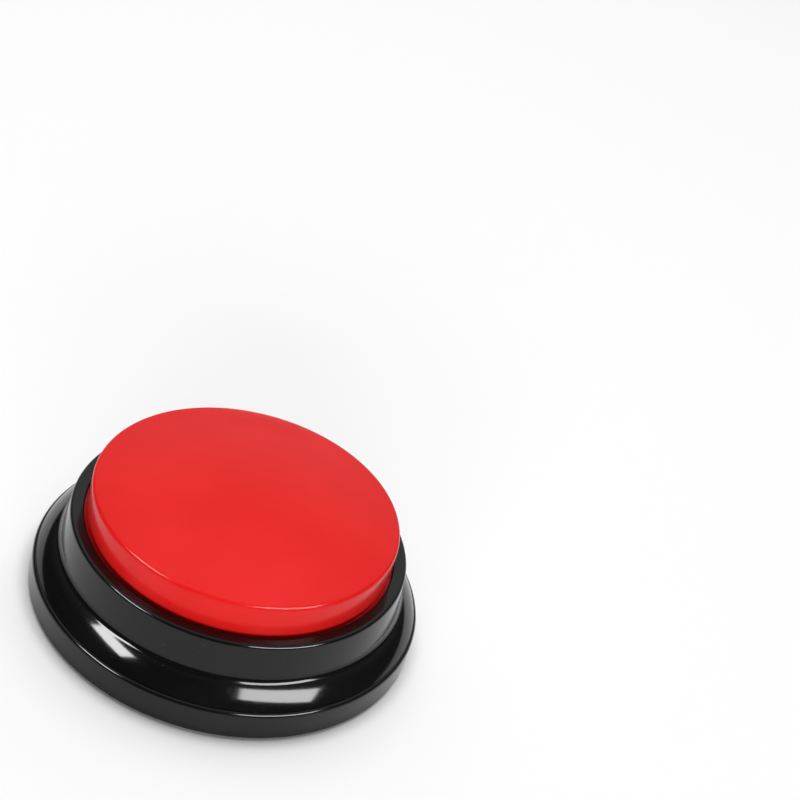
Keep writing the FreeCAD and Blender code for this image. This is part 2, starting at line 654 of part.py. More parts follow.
def inner_deck():
    """Round deck over the cells with spring sleeves, standoffs and slots for wires and tabs."""
    pieces = [cylinder(0, 0, DECK_BOTTOM, DECK_TOP, DECK_RADIUS)]
    cuts = []
    for degrees in PIN_ANGLES:
        x, y = polar(PIN_CIRCLE, degrees)
        pieces.append(cylinder(x, y, DECK_TOP, SLEEVE_TOP, SLEEVE_RADIUS))
        cuts.append(cylinder(x, y, DECK_BOTTOM, SLEEVE_TOP, PIN_RADIUS + PIN_FIT))
    for x, y in board_holes():
        pieces.append(cylinder(x, y, DECK_TOP, BOARD_BOTTOM, STANDOFF_RADIUS))
        pilot = BOARD_SCREW["shank_r"] + THREAD_GAP
        cuts.append(cylinder(x, y, DECK_BOTTOM, BOARD_BOTTOM, pilot))
    for x, y in DECK_SCREW_SPOTS:
        cuts.append(cylinder(x, y, DECK_BOTTOM, DECK_TOP, DECK_SCREW["shank_r"] + SHANK_CLEARANCE))
    for y in (CELL_1_Y, CELL_2_Y):
        cuts.append(tab_slot(y, DECK_BOTTOM, DECK_TOP))
    slot_y = SPEAKER_Y + SPEAKER_WIRE_BACK
    half_x = SPEAKER_WIRE_X + WIRE_SLOT_ROOM
    low = (-half_x, slot_y - WIRE_SLOT_ROOM, DECK_BOTTOM)
    cuts.append(block(low, (half_x, slot_y + WIRE_SLOT_ROOM, DECK_TOP)))
    return cut_all(fused(pieces), cuts)


def circuit_board():
    """Square board with rounded corners and a screw hole at each, clear of the springs."""
    half = BOARD_SIDE / 2
    board = block((-half, -half, BOARD_BOTTOM), (half, half, BOARD_TOP))
    corners = [edge for edge in board.Edges if abs(edge.tangentAt(edge.FirstParameter).z) > 0.5]
    board = board.makeFillet(BOARD_CORNER, corners)
    hole = BOARD_SCREW["shank_r"] + SHANK_CLEARANCE
    cuts = [cylinder(x, y, BOARD_BOTTOM, BOARD_TOP, hole) for x, y in board_holes()]
    spring_room = SPRING_RADIUS + SPRING_WIRE + BOARD_SPRING_CLEARANCE
    for degrees in PIN_ANGLES:
        x, y = polar(PIN_CIRCLE, degrees)
        cuts.append(cylinder(x, y, BOARD_BOTTOM, BOARD_TOP, spring_room))
    return cut_all(board, cuts)


def chip_cover():
    """Low dome of black resin over the sound chip."""
    dome_radius = (CHIP_RADIUS ** 2 + CHIP_HEIGHT ** 2) / (2 * CHIP_HEIGHT)
    base = BOARD_TOP
    centre = (0, base + CHIP_HEIGHT - dome_radius)
    half_angle = math.degrees(math.asin(CHIP_RADIUS / dome_radius))
    edge = (CHIP_RADIUS, base)
    apex = (0, base + CHIP_HEIGHT)
    middle = on_circle(centre, dome_radius, 90 - half_angle / 2)
    dome = turned([arc(edge, middle, apex), line(apex, (0, base)), line((0, base), edge)])
    dome.translate(Vector(CHIP_SPOT[0], CHIP_SPOT[1], 0))
    return dome


def board_components():
    """Small resistors and one upright capacitor on the board."""
    width, length, height = RESISTOR_SIZE
    parts = []
    for x, y in RESISTOR_SPOTS:
        low = (x - width / 2, y - length / 2, BOARD_TOP)
        parts.append(block(low, (x + width / 2, y + length / 2, BOARD_TOP + height)))
    x, y = CAPACITOR_SPOT
    parts.append(cylinder(x, y, BOARD_TOP, BOARD_TOP + CAPACITOR_HEIGHT, CAPACITOR_RADIUS))
    return parts


def switch_body():
    """Square push-switch body with four legs and a round well for its stem."""
    half = SWITCH_SIDE / 2
    body = block((-half, -half, BOARD_TOP), (half, half, SWITCH_TOP))
    body = body.makeFillet(SWITCH_EDGE, body.Edges[:4])
    legs = []
    for x_side in (-1, 1):
        for y_side in (-1, 1):
            inner = x_side * (half - SWITCH_EDGE)
            outer = x_side * (half + SWITCH_LEG)
            y = y_side * half / 2
            low = (min(inner, outer), y - SWITCH_LEG / 2, BOARD_TOP)
            high = (max(inner, outer), y + SWITCH_LEG / 2, BOARD_TOP + SWITCH_LEG)
            legs.append(block(low, high))
    well = cylinder(0, 0, SWITCH_TOP - STEM_DEPTH - STEM_TRAVEL - TOUCH_GAP, SWITCH_TOP,
                    STEM_RADIUS + STEM_FIT)
    return fused([body] + legs).cut(well)


def switch_stem():
    """Round stem that the plunger pushes a quarter of a millimetre down."""
    stem = cylinder(0, 0, SWITCH_TOP - STEM_DEPTH, STEM_TOP, STEM_RADIUS)
    return stem.makeFillet(SWITCH_EDGE / 2, [ring_edge(stem, STEM_RADIUS, STEM_TOP)])


def coil(radius, tip_radius, length, turns, wire_radius):
    """Wire wound upwards from the origin, straight or narrowing to its tip."""
    taper = math.degrees(math.atan2(tip_radius - radius, length))
    helix = Part.makeHelix(length / turns, length, radius, taper)
    section = Part.Wire(Part.makeCircle(wire_radius, Vector(radius, 0, 0), Vector(0, 1, 0)))
    return Part.Wire(helix).makePipeShell([section], True, True)


def return_springs():
    """Three springs around the deck's sleeves, one for each guide pin."""
    springs = []
    for degrees in PIN_ANGLES:
        x, y = polar(PIN_CIRCLE, degrees)
        length = SPRING_LENGTH - 2 * (SPRING_WIRE + SPRING_END_GAP)
        spring = coil(SPRING_RADIUS, SPRING_RADIUS, length, SPRING_TURNS, SPRING_WIRE)
        spring.translate(Vector(x, y, DECK_TOP + SPRING_WIRE + SPRING_END_GAP))
        springs.append(spring)
    return springs


def cell(y, direction):
    """AAA cell along X, its nub towards the given side and touching its contact."""
    nub_end = direction * CONTACT_X
    shoulder = nub_end - direction * CELL_NUB_HEIGHT
    can_length = CELL_LENGTH - CELL_NUB_HEIGHT
    back = Vector(-direction, 0, 0)
    can = Part.makeCylinder(CELL_RADIUS, can_length, Vector(shoulder, y, CELL_Z), back)
    rims = [edge for edge in can.Edges if isinstance(edge.Curve, Part.Circle)]
    can = can.makeFillet(CELL_EDGE, rims)
    nub_start = Vector(nub_end, y, CELL_Z)
    nub = Part.makeCylinder(CELL_NUB_RADIUS, CELL_NUB_HEIGHT + CELL_EDGE, nub_start, back)
    return can.fuse(nub).removeSplitter()


def contact_plate(side, y_low, y_high):
    """Flat contact against one end wall of the bay."""
    near = side * CONTACT_X
    wall = side * BAY_HALF_LENGTH
    low = (min(near, wall), y_low, FLOOR_TOP + CONTACT_MARGIN)
    high = (max(near, wall), y_high, BAY_CEILING - CONTACT_MARGIN)
    return block(low, high)


def contact_tab(y):
    """Narrow solder tab that rises from a contact through the ceiling and the deck."""
    low = (CONTACT_X, y - TAB_WIDTH / 2, BAY_CEILING - CONTACT_MARGIN)
    return block(low, (BAY_HALF_LENGTH, y + TAB_WIDTH / 2, TAB_TOP))


def contact_spring(side, y):
    """Cone-shaped coil that presses on the flat end of a cell."""
    length = BAY_SPRING_ROOM - 2 * CONTACT_WIRE + CONTACT_THICKNESS / 2
    spring = coil(CONTACT_COIL_BASE, CONTACT_COIL_TIP, length, CONTACT_TURNS, CONTACT_WIRE)
    spring.rotate(AXIS_POINT, Vector(0, 1, 0), -90 * side)
    root = side * (CONTACT_X - CONTACT_WIRE + CONTACT_THICKNESS / 2)
    spring.translate(Vector(root, y, CELL_Z))
    return spring


def contact_positive():
    """Flat contact and solder tab at the nub of the first cell."""
    half = CONTACT_WIDTH / 2
    return fused([contact_plate(1, CELL_1_Y - half, CELL_1_Y + half), contact_tab(CELL_1_Y)])


def contact_negative():
    """Sprung contact and solder tab at the flat end of the second cell."""
    half = CONTACT_WIDTH / 2
    plate = contact_plate(1, CELL_2_Y - half, CELL_2_Y + half)
    return fused([plate, contact_tab(CELL_2_Y), contact_spring(1, CELL_2_Y)])


def contact_bridge():
    """Contact that joins the two cells at the far end of the bay."""
    half = CONTACT_WIDTH / 2
    plate = contact_plate(-1, CELL_2_Y - half, CELL_1_Y + half)
    return fused([plate, contact_spring(-1, CELL_1_Y)])


def at_speaker(shape):
    """Shape turned about the origin and moved onto the tray's floor at the speaker."""
    shape.translate(Vector(0, SPEAKER_Y, FLOOR_TOP))
    return shape


def speaker_frame():
    """Pressed cup with a front rim and a hole in its back for the coil."""
    side_inner = SPEAKER_RADIUS - SPEAKER_SHEET
    front_inner = SPEAKER_RADIUS - SPEAKER_FRONT_WIDTH
    back = SPEAKER_HEIGHT - SPEAKER_SHEET
    outline = [
        (front_inner, 0),
        (SPEAKER_RADIUS, 0),
        (SPEAKER_RADIUS, SPEAKER_HEIGHT),
        (SPEAKER_BACK_HOLE, SPEAKER_HEIGHT),
        (SPEAKER_BACK_HOLE, back),
        (side_inner, back),
        (side_inner, SPEAKER_SHEET),
        (front_inner, SPEAKER_SHEET),
    ]
    return at_speaker(turned_outline(outline))


def speaker_magnet():
    """Magnet and yoke with the ring-shaped gap that the coil moves in."""
    gap_top = SPEAKER_HEIGHT + COIL_GAP_DEPTH
    top = SPEAKER_HEIGHT + MAGNET_HEIGHT
    outline = [
        (0, SPEAKER_HEIGHT),
        (COIL_GAP_INNER, SPEAKER_HEIGHT),
        (COIL_GAP_INNER, gap_top),
        (COIL_GAP_OUTER, gap_top),
        (COIL_GAP_OUTER, SPEAKER_HEIGHT),
        (MAGNET_RADIUS, SPEAKER_HEIGHT),
        (MAGNET_RADIUS, top),
        (0, top),
    ]
    return at_speaker(turned_outline(outline))


def speaker_cone():
    """Cone with its dust cap and coil former, free of the frame all round."""
    edge = SPEAKER_RADIUS - SPEAKER_FRONT_WIDTH - CONE_EDGE_ROOM
    former_inner = COIL_GAP_INNER + COIL_CLEARANCE
    former_outer = COIL_GAP_OUTER - COIL_CLEARANCE
    former_top = SPEAKER_HEIGHT + COIL_REACH
    cap_low = CONE_NECK_Z - DUST_CAP_RISE
    outline = [
        (0, cap_low),
        (former_outer, CONE_NECK_Z),
        (edge, CONE_EDGE_Z),
        (edge, CONE_EDGE_Z + CONE_SHEET),
        (former_outer, CONE_NECK_Z + CONE_SHEET),
        (former_outer, former_top),
        (former_inner, former_top),
        (former_inner, CONE_NECK_Z + CONE_SHEET),
        (0, cap_low + CONE_SHEET),
    ]
    return at_speaker(turned_outline(outline))


def wire_along(points):
    """Round wire along straight runs joined by tangent arcs as large as the runs allow."""
    edges = []
    radii = []
    previous = points[0]
    for before, corner, after in zip(points, points[1:], points[2:]):
        to_before = before - corner
        to_after = after - corner
        trim = 0.45 * min(to_before.Length, to_after.Length)
        half_turn = (math.pi - to_before.getAngle(to_after)) / 2
        to_before.normalize()
        to_after.normalize()
        start = corner + to_before * trim
        end = corner + to_after * trim
        radius = trim / math.tan(half_turn)
        inward = to_before + to_after
        inward.normalize()
        middle = corner + inward * (math.hypot(trim, radius) - radius)
        edges.append(Part.LineSegment(previous, start).toShape())
        edges.append(Part.Arc(start, middle, end).toShape())
        radii.append(radius)
        previous = end
    edges.append(Part.LineSegment(previous, points[-1]).toShape())
    path = Part.Wire(edges)
    direction = points[1] - points[0]
    section = Part.Wire(Part.makeCircle(WIRE_RADIUS, points[0], direction))
    solid = path.makePipeShell([section], True, True)
    expected = path.Length * math.pi * WIRE_RADIUS ** 2
    smallest = min(radii)
    print(f"wire {path.Length:.1f} long, smallest bend {smallest:.2f}, volume {solid.Volume / expected:.3f}")
    return solid


def arched_wire(start, end, top):
    """Wire that rises from one joint, arches over at a height and comes down on another."""
    across = Vector(end.x - start.x, end.y - start.y, 0)
    across.normalize()
    bend = across * WIRE_BEND
    shoulder = top - WIRE_BEND
    return wire_along([
        start,
        Vector(start.x, start.y, shoulder),
        Vector(start.x, start.y, top) + bend,
        Vector(end.x, end.y, top) - bend,
        Vector(end.x, end.y, shoulder),
        end,
    ])


def battery_wire(tab_y, pad_y):
    """Wire from the inner face of a solder tab to a pad near the board's edge."""
    start = Vector(CONTACT_X - WIRE_TAB_GAP - WIRE_RADIUS, tab_y, DECK_TOP + WIRE_TAB_GAP)
    pad = Vector(BOARD_SIDE / 2 - PAD_INSET, pad_y, BOARD_TOP + PAD_HEIGHT)
    return arched_wire(start, pad, BOARD_TOP + WIRE_TOP_ABOVE_BOARD)


def speaker_wire(side):
    """Wire from the back of the speaker up through the deck to a pad on the board."""
    x = side * SPEAKER_WIRE_X
    start = Vector(x, SPEAKER_Y + SPEAKER_WIRE_BACK, FLOOR_TOP + SPEAKER_HEIGHT + PAD_HEIGHT)
    pad = Vector(x, BOARD_SIDE / 2 - PAD_INSET, BOARD_TOP + PAD_HEIGHT)
    return arched_wire(start, pad, BOARD_TOP + WIRE_TOP_ABOVE_BOARD)


def rubber_foot(degrees):
    """Round foot seated in a recess under the floor."""
    x, y = polar(FOOT_CIRCLE, degrees)
    foot = cylinder(x, y, 0, FOOT_PROUD + FOOT_RECESS, FOOT_RADIUS)
    return foot.makeChamfer(FOOT_EDGE, [ring_edge(foot, FOOT_RADIUS, 0)])


def all_nodes():
    """Every node by name, as one solid or a list of separate solids."""
    nodes = {
        "button_cap": button_cap(),
        "upper_housing": upper_housing(),
        "base_tray": base_tray(),
        "battery_door": battery_door(),
        "battery_door_screw": screw(DOOR_SCREW, 0, DOOR_SCREW_Y, FOOT_PROUD + DOOR_SCREW["head_h"], 1),
        "inner_deck": inner_deck(),
        "circuit_board": circuit_board(),
        "chip_cover": chip_cover(),
        "board_components": board_components(),
        "switch_body": switch_body(),
        "switch_stem": switch_stem(),
        "battery_1": cell(CELL_1_Y, 1),
        "battery_2": cell(CELL_2_Y, -1),
        "contact_positive": contact_positive(),
        "contact_negative": contact_negative(),
        "contact_bridge": contact_bridge(),
        "speaker_frame": speaker_frame(),
        "speaker_magnet": speaker_magnet(),
        "speaker_cone": speaker_cone(),
        "battery_wire_red": battery_wire(CELL_1_Y, RED_WIRE_PAD_Y),
        "battery_wire_black": battery_wire(CELL_2_Y, BLACK_WIRE_PAD_Y),
        "speaker_wire_1": speaker_wire(-1),
        "speaker_wire_2": speaker_wire(1),
        "housing_screws": housing_screws(),
        "deck_screws": deck_screws(),
        "board_screws": board_screws(),
    }
    for number, spring in enumerate(return_springs(), start=1):
        nodes[f"return_spring_{number}"] = spring
    for number, degrees in enumerate(FOOT_ANGLES, start=1):
        nodes[f"rubber_foot_{number}"] = rubber_foot(degrees)
    return nodes


os.makedirs("parts", exist_ok=True)
for name, shape in all_nodes().items():
    whole = Part.makeCompound(shape) if isinstance(shape, list) else shape
    whole.exportStep(f"parts/{name}.step")
    print(f"{name}: {len(whole.Solids)} solid(s), {whole.Volume:.1f} mm3, valid {whole.isValid()}")
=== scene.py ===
"""Looks of the quiz buzzer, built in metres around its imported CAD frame.

The cap, the housing, the band of the tray and the feet are turned surfaces worked out here from
their outlines. Every other CAD node is carried over as a merged, smoothly shaded copy. Each finish
is a small class that makes one procedural material.
"""
import json
import logging
import math
from dataclasses import dataclass, field
from enum import Enum
from typing import Any, Sequence

import bmesh
import bpy
import numpy as np
from mathutils import Matrix, Vector


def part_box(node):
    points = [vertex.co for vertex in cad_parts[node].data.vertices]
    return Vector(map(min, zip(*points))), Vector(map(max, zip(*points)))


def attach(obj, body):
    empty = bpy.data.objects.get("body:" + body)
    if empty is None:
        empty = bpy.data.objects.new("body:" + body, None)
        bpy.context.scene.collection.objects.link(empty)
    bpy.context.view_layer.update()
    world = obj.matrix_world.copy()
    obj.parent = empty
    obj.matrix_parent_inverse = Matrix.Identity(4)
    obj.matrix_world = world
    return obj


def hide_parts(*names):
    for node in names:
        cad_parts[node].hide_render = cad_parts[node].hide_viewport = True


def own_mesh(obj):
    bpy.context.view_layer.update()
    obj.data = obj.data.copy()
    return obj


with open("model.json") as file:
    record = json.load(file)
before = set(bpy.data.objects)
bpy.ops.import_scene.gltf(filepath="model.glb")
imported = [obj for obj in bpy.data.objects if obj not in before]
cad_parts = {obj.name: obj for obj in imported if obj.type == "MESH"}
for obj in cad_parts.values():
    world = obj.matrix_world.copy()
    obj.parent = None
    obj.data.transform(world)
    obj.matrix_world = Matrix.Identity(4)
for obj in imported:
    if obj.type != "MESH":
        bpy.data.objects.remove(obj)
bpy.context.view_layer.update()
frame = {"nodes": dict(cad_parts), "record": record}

MM = 0.001
SMOOTH_ANGLE = math.radians(32)
MERGE_DISTANCE = 2e-6
SHELL_STEPS = 320
POST_STEPS = 64

log = logging.getLogger("quiz_buzzer")

Points = np.ndarray


class Body(Enum):
    """Rigid bodies of the frame."""

    STAND = "stand"
    BUTTON = "button"
    STEM = "stem"
    DOOR = "door"
    CONE = "cone"


# ---------------------------------------------------------------------------------------------
# Shader maths
# ---------------------------------------------------------------------------------------------


class Value:
    """A number socket that takes part in ordinary arithmetic, one Math node per operator."""

    def __init__(self, tree: "Tree", socket: bpy.types.NodeSocket) -> None:
        """Wraps a socket of a tree."""
        self.tree = tree
        self.socket = socket

    def _math(self, operation: str, first: Any, second: Any) -> "Value":
        """Result of a Math node of one operation on two numbers or Values."""
        node = self.tree.node("ShaderNodeMath", {"operation": operation}, {0: first, 1: second})
        return Value(self.tree, node.outputs[0])

    def __add__(self, other: Any) -> "Value":
        """Sum."""
        return self._math("ADD", self, other)

    def __radd__(self, other: Any) -> "Value":
        """Sum with a number on the left."""
        return self._math("ADD", other, self)

    def __sub__(self, other: Any) -> "Value":
        """Difference."""
        return self._math("SUBTRACT", self, other)

    def __rsub__(self, other: Any) -> "Value":
        """Difference from a number on the left."""
        return self._math("SUBTRACT", other, self)

    def __mul__(self, other: Any) -> "Value":
        """Product."""
        return self._math("MULTIPLY", self, other)

    def __rmul__(self, other: Any) -> "Value":
        """Product with a number on the left."""
        return self._math("MULTIPLY", other, self)

    def step(self, low: float, high: float) -> "Value":
        """Smooth step from zero at low to one at high.

        Args:
            low: value that gives zero.
            high: value that gives one; below low it turns the step round.

        Returns:
            The eased value between zero and one.
        """
        settings = {"interpolation_type": "SMOOTHSTEP"}
        inputs = {"Value": self, "From Min": low, "From Max": high}
        node = self.tree.node("ShaderNodeMapRange", settings, inputs)
        return Value(self.tree, node.outputs["Result"])


class Tree:
    """Node tree of a material or of the surround."""

    def __init__(self, owner: bpy.types.Material | bpy.types.World) -> None:
        """Clears the owner's node tree, ready to be filled.

        Args:
            owner: the material or world that gets the tree.
        """
        owner.use_nodes = True
        self.tree = owner.node_tree
        self.tree.nodes.clear()

    def node(self, kind: str, settings: dict | None = None, inputs: dict | None = None) -> bpy.types.Node:
        """Any node, its settings made before its sockets are filled.

        Args:
            kind: Blender's node type.
            settings: properties by name.
            inputs: numbers, colours, sockets or Values by the socket's name or number.

        Returns:
            The new node.
        """
        node = self.tree.nodes.new(kind)
        for key, value in (settings or {}).items():
            setattr(node, key, value)
        for key, value in (inputs or {}).items():
            self.feed(node.inputs[key], value)
        return node

    def feed(self, socket: bpy.types.NodeSocket, value: Any) -> None:
        """Links a socket or Value into an input, or sets it to a plain value.

        Args:
            socket: the input.
            value: Value, socket, number, colour or vector.
        """
        if isinstance(value, Value):
            value = value.socket
        if isinstance(value, bpy.types.NodeSocket):
            self.tree.links.new(value, socket)
        elif isinstance(value, tuple) and len(value) == 3 and socket.type == "RGBA":
            socket.default_value = (*value, 1.0)
        else:
            socket.default_value = value


class Graph(Tree):
    """Node tree of one new material, with its Principled shader ready to be fed."""

    def __init__(self, name: str) -> None:
        """Makes the material, its shader and its output.

        Args:
            name: name of the material.
        """
        self.material = bpy.data.materials.new(name)
        super().__init__(self.material)
        self.shader = self.node("ShaderNodeBsdfPrincipled")
        self.node("ShaderNodeOutputMaterial", {}, {"Surface": self.shader.outputs[0]})
        self.coordinates = self.node("ShaderNodeTexCoord").outputs["Object"]

    def surface(self, **inputs: Any) -> None:
        """Feeds the Principled shader, with underscores for the spaces in socket names."""
        for key, value in inputs.items():
            self.feed(self.shader.inputs[key.replace("_", " ")], value)

    def noise(self, size: float, detail: float = 3.0, rough: float = 0.5,
              stretch: tuple[float, float, float] | None = None) -> Value:
        """Noise on object coordinates.

        Args:
            size: size of its largest features in metres.
            detail: number of finer octaves.
            rough: strength of the finer octaves.
            stretch: factors that squeeze the pattern along X, Y and Z.

        Returns:
            The noise, about 0.5 on average.
        """
        where = self.coordinates
        if stretch:
            where = self.node("ShaderNodeMapping", {}, {"Vector": where, "Scale": stretch}).outputs[0]
        inputs = {"Vector": where, "Scale": 1 / size, "Detail": detail, "Roughness": rough}
        return Value(self, self.node("ShaderNodeTexNoise", {}, inputs).outputs["Fac"])

    def cells(self, size: float) -> Value:
        """Distance from the points of a cell pattern, about half a cell at most."""
        node = self.node("ShaderNodeTexVoronoi", {}, {"Vector": self.coordinates, "Scale": 1 / size})
        return Value(self, node.outputs["Distance"])

    def axis(self, name: str) -> Value:
        """One of the object coordinates X, Y or Z, in metres."""
        node = self.node("ShaderNodeSeparateXYZ", {}, {0: self.coordinates})
        return Value(self, node.outputs[name])

    def mix(self, share: Any, first: Any, second: Any) -> bpy.types.NodeSocket:
        """Colour between two colours.

        Args:
            share: share of the second colour.
            first: colour or colour socket.
            second: colour or colour socket.

        Returns:
            The mixed colour's socket.
        """
        node = self.node("ShaderNodeMix", {"data_type": "RGBA"}, {0: share, 6: first, 7: second})
        return node.outputs[2]

    def bump(self, height: Value, depth: float,
             under: bpy.types.NodeSocket | None = None) -> bpy.types.NodeSocket:
        """Bumped normal.

        Args:
            height: height between zero and one.
            depth: depth in metres that a height of one stands for.
            under: normal that the bump is laid over.

        Returns:
            The normal's socket.
        """
        inputs = {"Height": height, "Distance": depth, "Strength": 1.0}
        if under is not None:
            inputs["Normal"] = under
        return self.node("ShaderNodeBump", {}, inputs).outputs[0]


# ---------------------------------------------------------------------------------------------
# Finishes
# ---------------------------------------------------------------------------------------------


@dataclass(frozen=True)
class Moulded:
    """Injection-moulded plastic: slight colour drift, fine ripple, faint rub marks and dust.

    peel is the depth of the ripple left by the mould, and rub is how much the hairline marks
    roughen the shine.
    """

    name: str
    colour: tuple[float, float, float]
    drift: tuple[float, float, float]
    roughness: float
    rub: float = 0.05
    peel: float = 1.2e-6
    peel_size: float = 2.5 * MM
    grain: float = 0.0
    grain_size: float = 0.16 * MM
    dust: float = 0.0
    dust_colour: tuple[float, float, float] = (0.55, 0.54, 0.52)
    dust_spacing: float = 1.7 * MM
    drift_size: float = 24 * MM
    specular: float = 0.5

    def make(self) -> bpy.types.Material:
        """Makes the material.

        Returns:
            The new material.
        """
        g = Graph(self.name)
        broad = g.noise(self.drift_size, 2.0)
        colour = g.mix(broad.step(0.3, 0.7), self.colour, self.drift)
        specks = g.cells(self.dust_spacing).step(0.075, 0.03) * g.noise(9 * MM, 1.0).step(0.5, 0.62)
        colour = g.mix(specks * self.dust, colour, self.dust_colour)
        lines = g.noise(0.5 * MM, 2.0, 0.6, (1.0, 0.05, 0.3)).step(0.6, 0.72)
        other = g.noise(0.45 * MM, 2.0, 0.6, (0.06, 1.0, 0.3)).step(0.62, 0.74)
        marks = (lines + other) * g.noise(12 * MM, 2.0).step(0.42, 0.68)
        roughness = self.roughness + marks * self.rub + (broad - 0.5) * (self.rub * 0.5)
        roughness = roughness + specks * self.dust * 0.3
        normal = g.bump(g.noise(self.peel_size, 1.0), self.peel)
        if self.grain:
            normal = g.bump(g.noise(self.grain_size, 2.0), self.grain, normal)
        g.surface(Base_Color=colour, Roughness=roughness, Normal=normal, Specular_IOR_Level=self.specular)
        return g.material


@dataclass(frozen=True)
class Rubber:
    """Soft matt rubber with a fine pebbled skin and a little dust in it."""

    name: str
    colour: tuple[float, float, float]
    dusty: tuple[float, float, float]
    pebble: float = 0.35 * MM
    depth: float = 12e-6

    def make(self) -> bpy.types.Material:
        """Makes the material.

        Returns:
            The new material.
        """
        g = Graph(self.name)
        dust = g.noise(3 * MM, 4.0, 0.6).step(0.45, 0.75)
        height = g.cells(self.pebble)
        g.surface(Base_Color=g.mix(dust, self.colour, self.dusty), Roughness=0.72 + dust * 0.15)
        g.surface(Normal=g.bump(height, self.depth))
        return g.material


@dataclass(frozen=True)
class PlatedMetal:
    """Plated or drawn metal with brushed lines and faint stains."""

    name: str
    colour: tuple[float, float, float]
    stain: tuple[float, float, float]
    roughness: float = 0.28
    lines: tuple[float, float, float] = (1.0, 1.0, 0.08)
    line_size: float = 0.12 * MM
    line_depth: float = 1.5e-6
    stain_size: float = 2.5 * MM

    def make(self) -> bpy.types.Material:
        """Makes the material.

        Returns:
            The new material.
        """
        g = Graph(self.name)
        brushed = g.noise(self.line_size, 3.0, 0.6, self.lines)
        stains = g.noise(self.stain_size, 3.0).step(0.45, 0.75)
        g.surface(Base_Color=g.mix(stains * 0.6, self.colour, self.stain), Metallic=1.0)
        g.surface(Roughness=self.roughness + (brushed - 0.5) * 0.2 + stains * 0.1)
        g.surface(Normal=g.bump(brushed, self.line_depth))
        return g.material


@dataclass(frozen=True)
class BoardLaminate:
    """Solder-masked board: woven glass under the mask, paler copper tracks and tinned dots."""

    name: str
    mask: tuple[float, float, float] = (0.012, 0.11, 0.035)
    track: tuple[float, float, float] = (0.03, 0.24, 0.08)
    tin: tuple[float, float, float] = (0.62, 0.62, 0.60)
    track_scale: float = 260.0
    track_width: float = 0.03
    track_height: float = 25e-6
    dot_spacing: float = 3.2 * MM
    weave_size: float = 0.4 * MM
    weave_depth: float = 4e-6

    def make(self) -> bpy.types.Material:
        """Makes the material.

        Returns:
            The new material.
        """
        g = Graph(self.name)
        inputs = {"Vector": g.coordinates, "Rotation": (0, 0, math.pi / 4)}
        place = g.node("ShaderNodeMapping", {}, inputs).outputs[0]
        brick_inputs = {"Vector": place, "Scale": self.track_scale, "Mortar Size": self.track_width}
        bricks = Value(g, g.node("ShaderNodeTexBrick", {}, brick_inputs).outputs["Fac"])
        tracks = bricks * g.noise(7 * MM, 1.0).step(0.42, 0.5)
        dots = g.cells(self.dot_spacing).step(0.16, 0.13)
        weave = g.noise(self.weave_size, 1.0)
        colour = g.mix(tracks, self.mask, self.track)
        colour = g.mix(dots, colour, self.tin)
        g.surface(Base_Color=colour, Metallic=dots, Roughness=0.3 + weave * 0.12)
        g.surface(Normal=g.bump(tracks + dots, self.track_height, g.bump(weave, self.weave_depth)))
        return g.material


@dataclass(frozen=True)
class CellJacket:
    """Printed metal jacket of a cell: dark with a copper-coloured band at the nub end."""

    name: str
    jacket: tuple[float, float, float]
    band: tuple[float, float, float]
    nub_side: int
    split: float
    blur: float = 0.1 * MM
    scuff: tuple[float, float, float] = (0.5, 0.5, 0.5)

    def make(self) -> bpy.types.Material:
        """Makes the material.

        Returns:
            The new material.
        """
        g = Graph(self.name)
        along = g.axis("X") * self.nub_side
        banded = along.step(self.split - self.blur, self.split + self.blur)
        scuffs = g.noise(0.8 * MM, 4.0, 0.6, (0.2, 1.0, 1.0)).step(0.62, 0.75)
        colour = g.mix(banded, self.jacket, self.band)
        colour = g.mix(scuffs * 0.4, colour, self.scuff)
        g.surface(Base_Color=colour, Metallic=0.4 + banded * 0.5, Roughness=0.22 + scuffs * 0.2)
        g.surface(Normal=g.bump(g.noise(1.5 * MM, 1.0), 1.5e-6))
        return g.material


@dataclass(frozen=True)
class ConeFilm:
    """Thin pressed film with fine rings."""

    name: str
    colour: tuple[float, float, float]
    shade: tuple[float, float, float]
    centre_y: float
    ring_scale: float = 260.0
    ring_depth: float = 30e-6

    def make(self) -> bpy.types.Material:
        """Makes the material.

        Returns:
            The new material.
        """
        g = Graph(self.name)
        inputs = {"Vector": g.coordinates, "Location": (0, -self.centre_y, 0)}
        place = g.node("ShaderNodeMapping", {}, inputs).outputs[0]
        settings = {"wave_type": "RINGS", "rings_direction": "Z"}
        inputs = {"Vector": place, "Scale": self.ring_scale, "Distortion": 0.0}
        ripple = Value(g, g.node("ShaderNodeTexWave", settings, inputs).outputs["Fac"])
        colour = g.mix(g.noise(3 * MM, 3.0), self.colour, self.shade)
        g.surface(Base_Color=colour, Roughness=0.35 + ripple * 0.1)
        g.surface(Normal=g.bump(ripple, self.ring_depth))
        return g.material


# ---------------------------------------------------------------------------------------------
# Outlines and turned surfaces
# ---------------------------------------------------------------------------------------------


def arc_points(centre: tuple[float, float], radius: float, start: float, end: float, steps: int) -> Points:
    """Points on an arc: centre plus radius times (cos, sin) of evenly spaced angles.

    Args:
        centre: centre (r, z).
        radius: radius of the arc.
        start: first angle in radians, from the outward direction.
        end: last angle in radians.
        steps: number of equal steps.

    Returns:
        An array of (r, z) points, both ends included.
    """
    angles = np.linspace(start, end, steps + 1)
    return np.column_stack((centre[0] + radius * np.cos(angles), centre[1] + radius * np.sin(angles)))


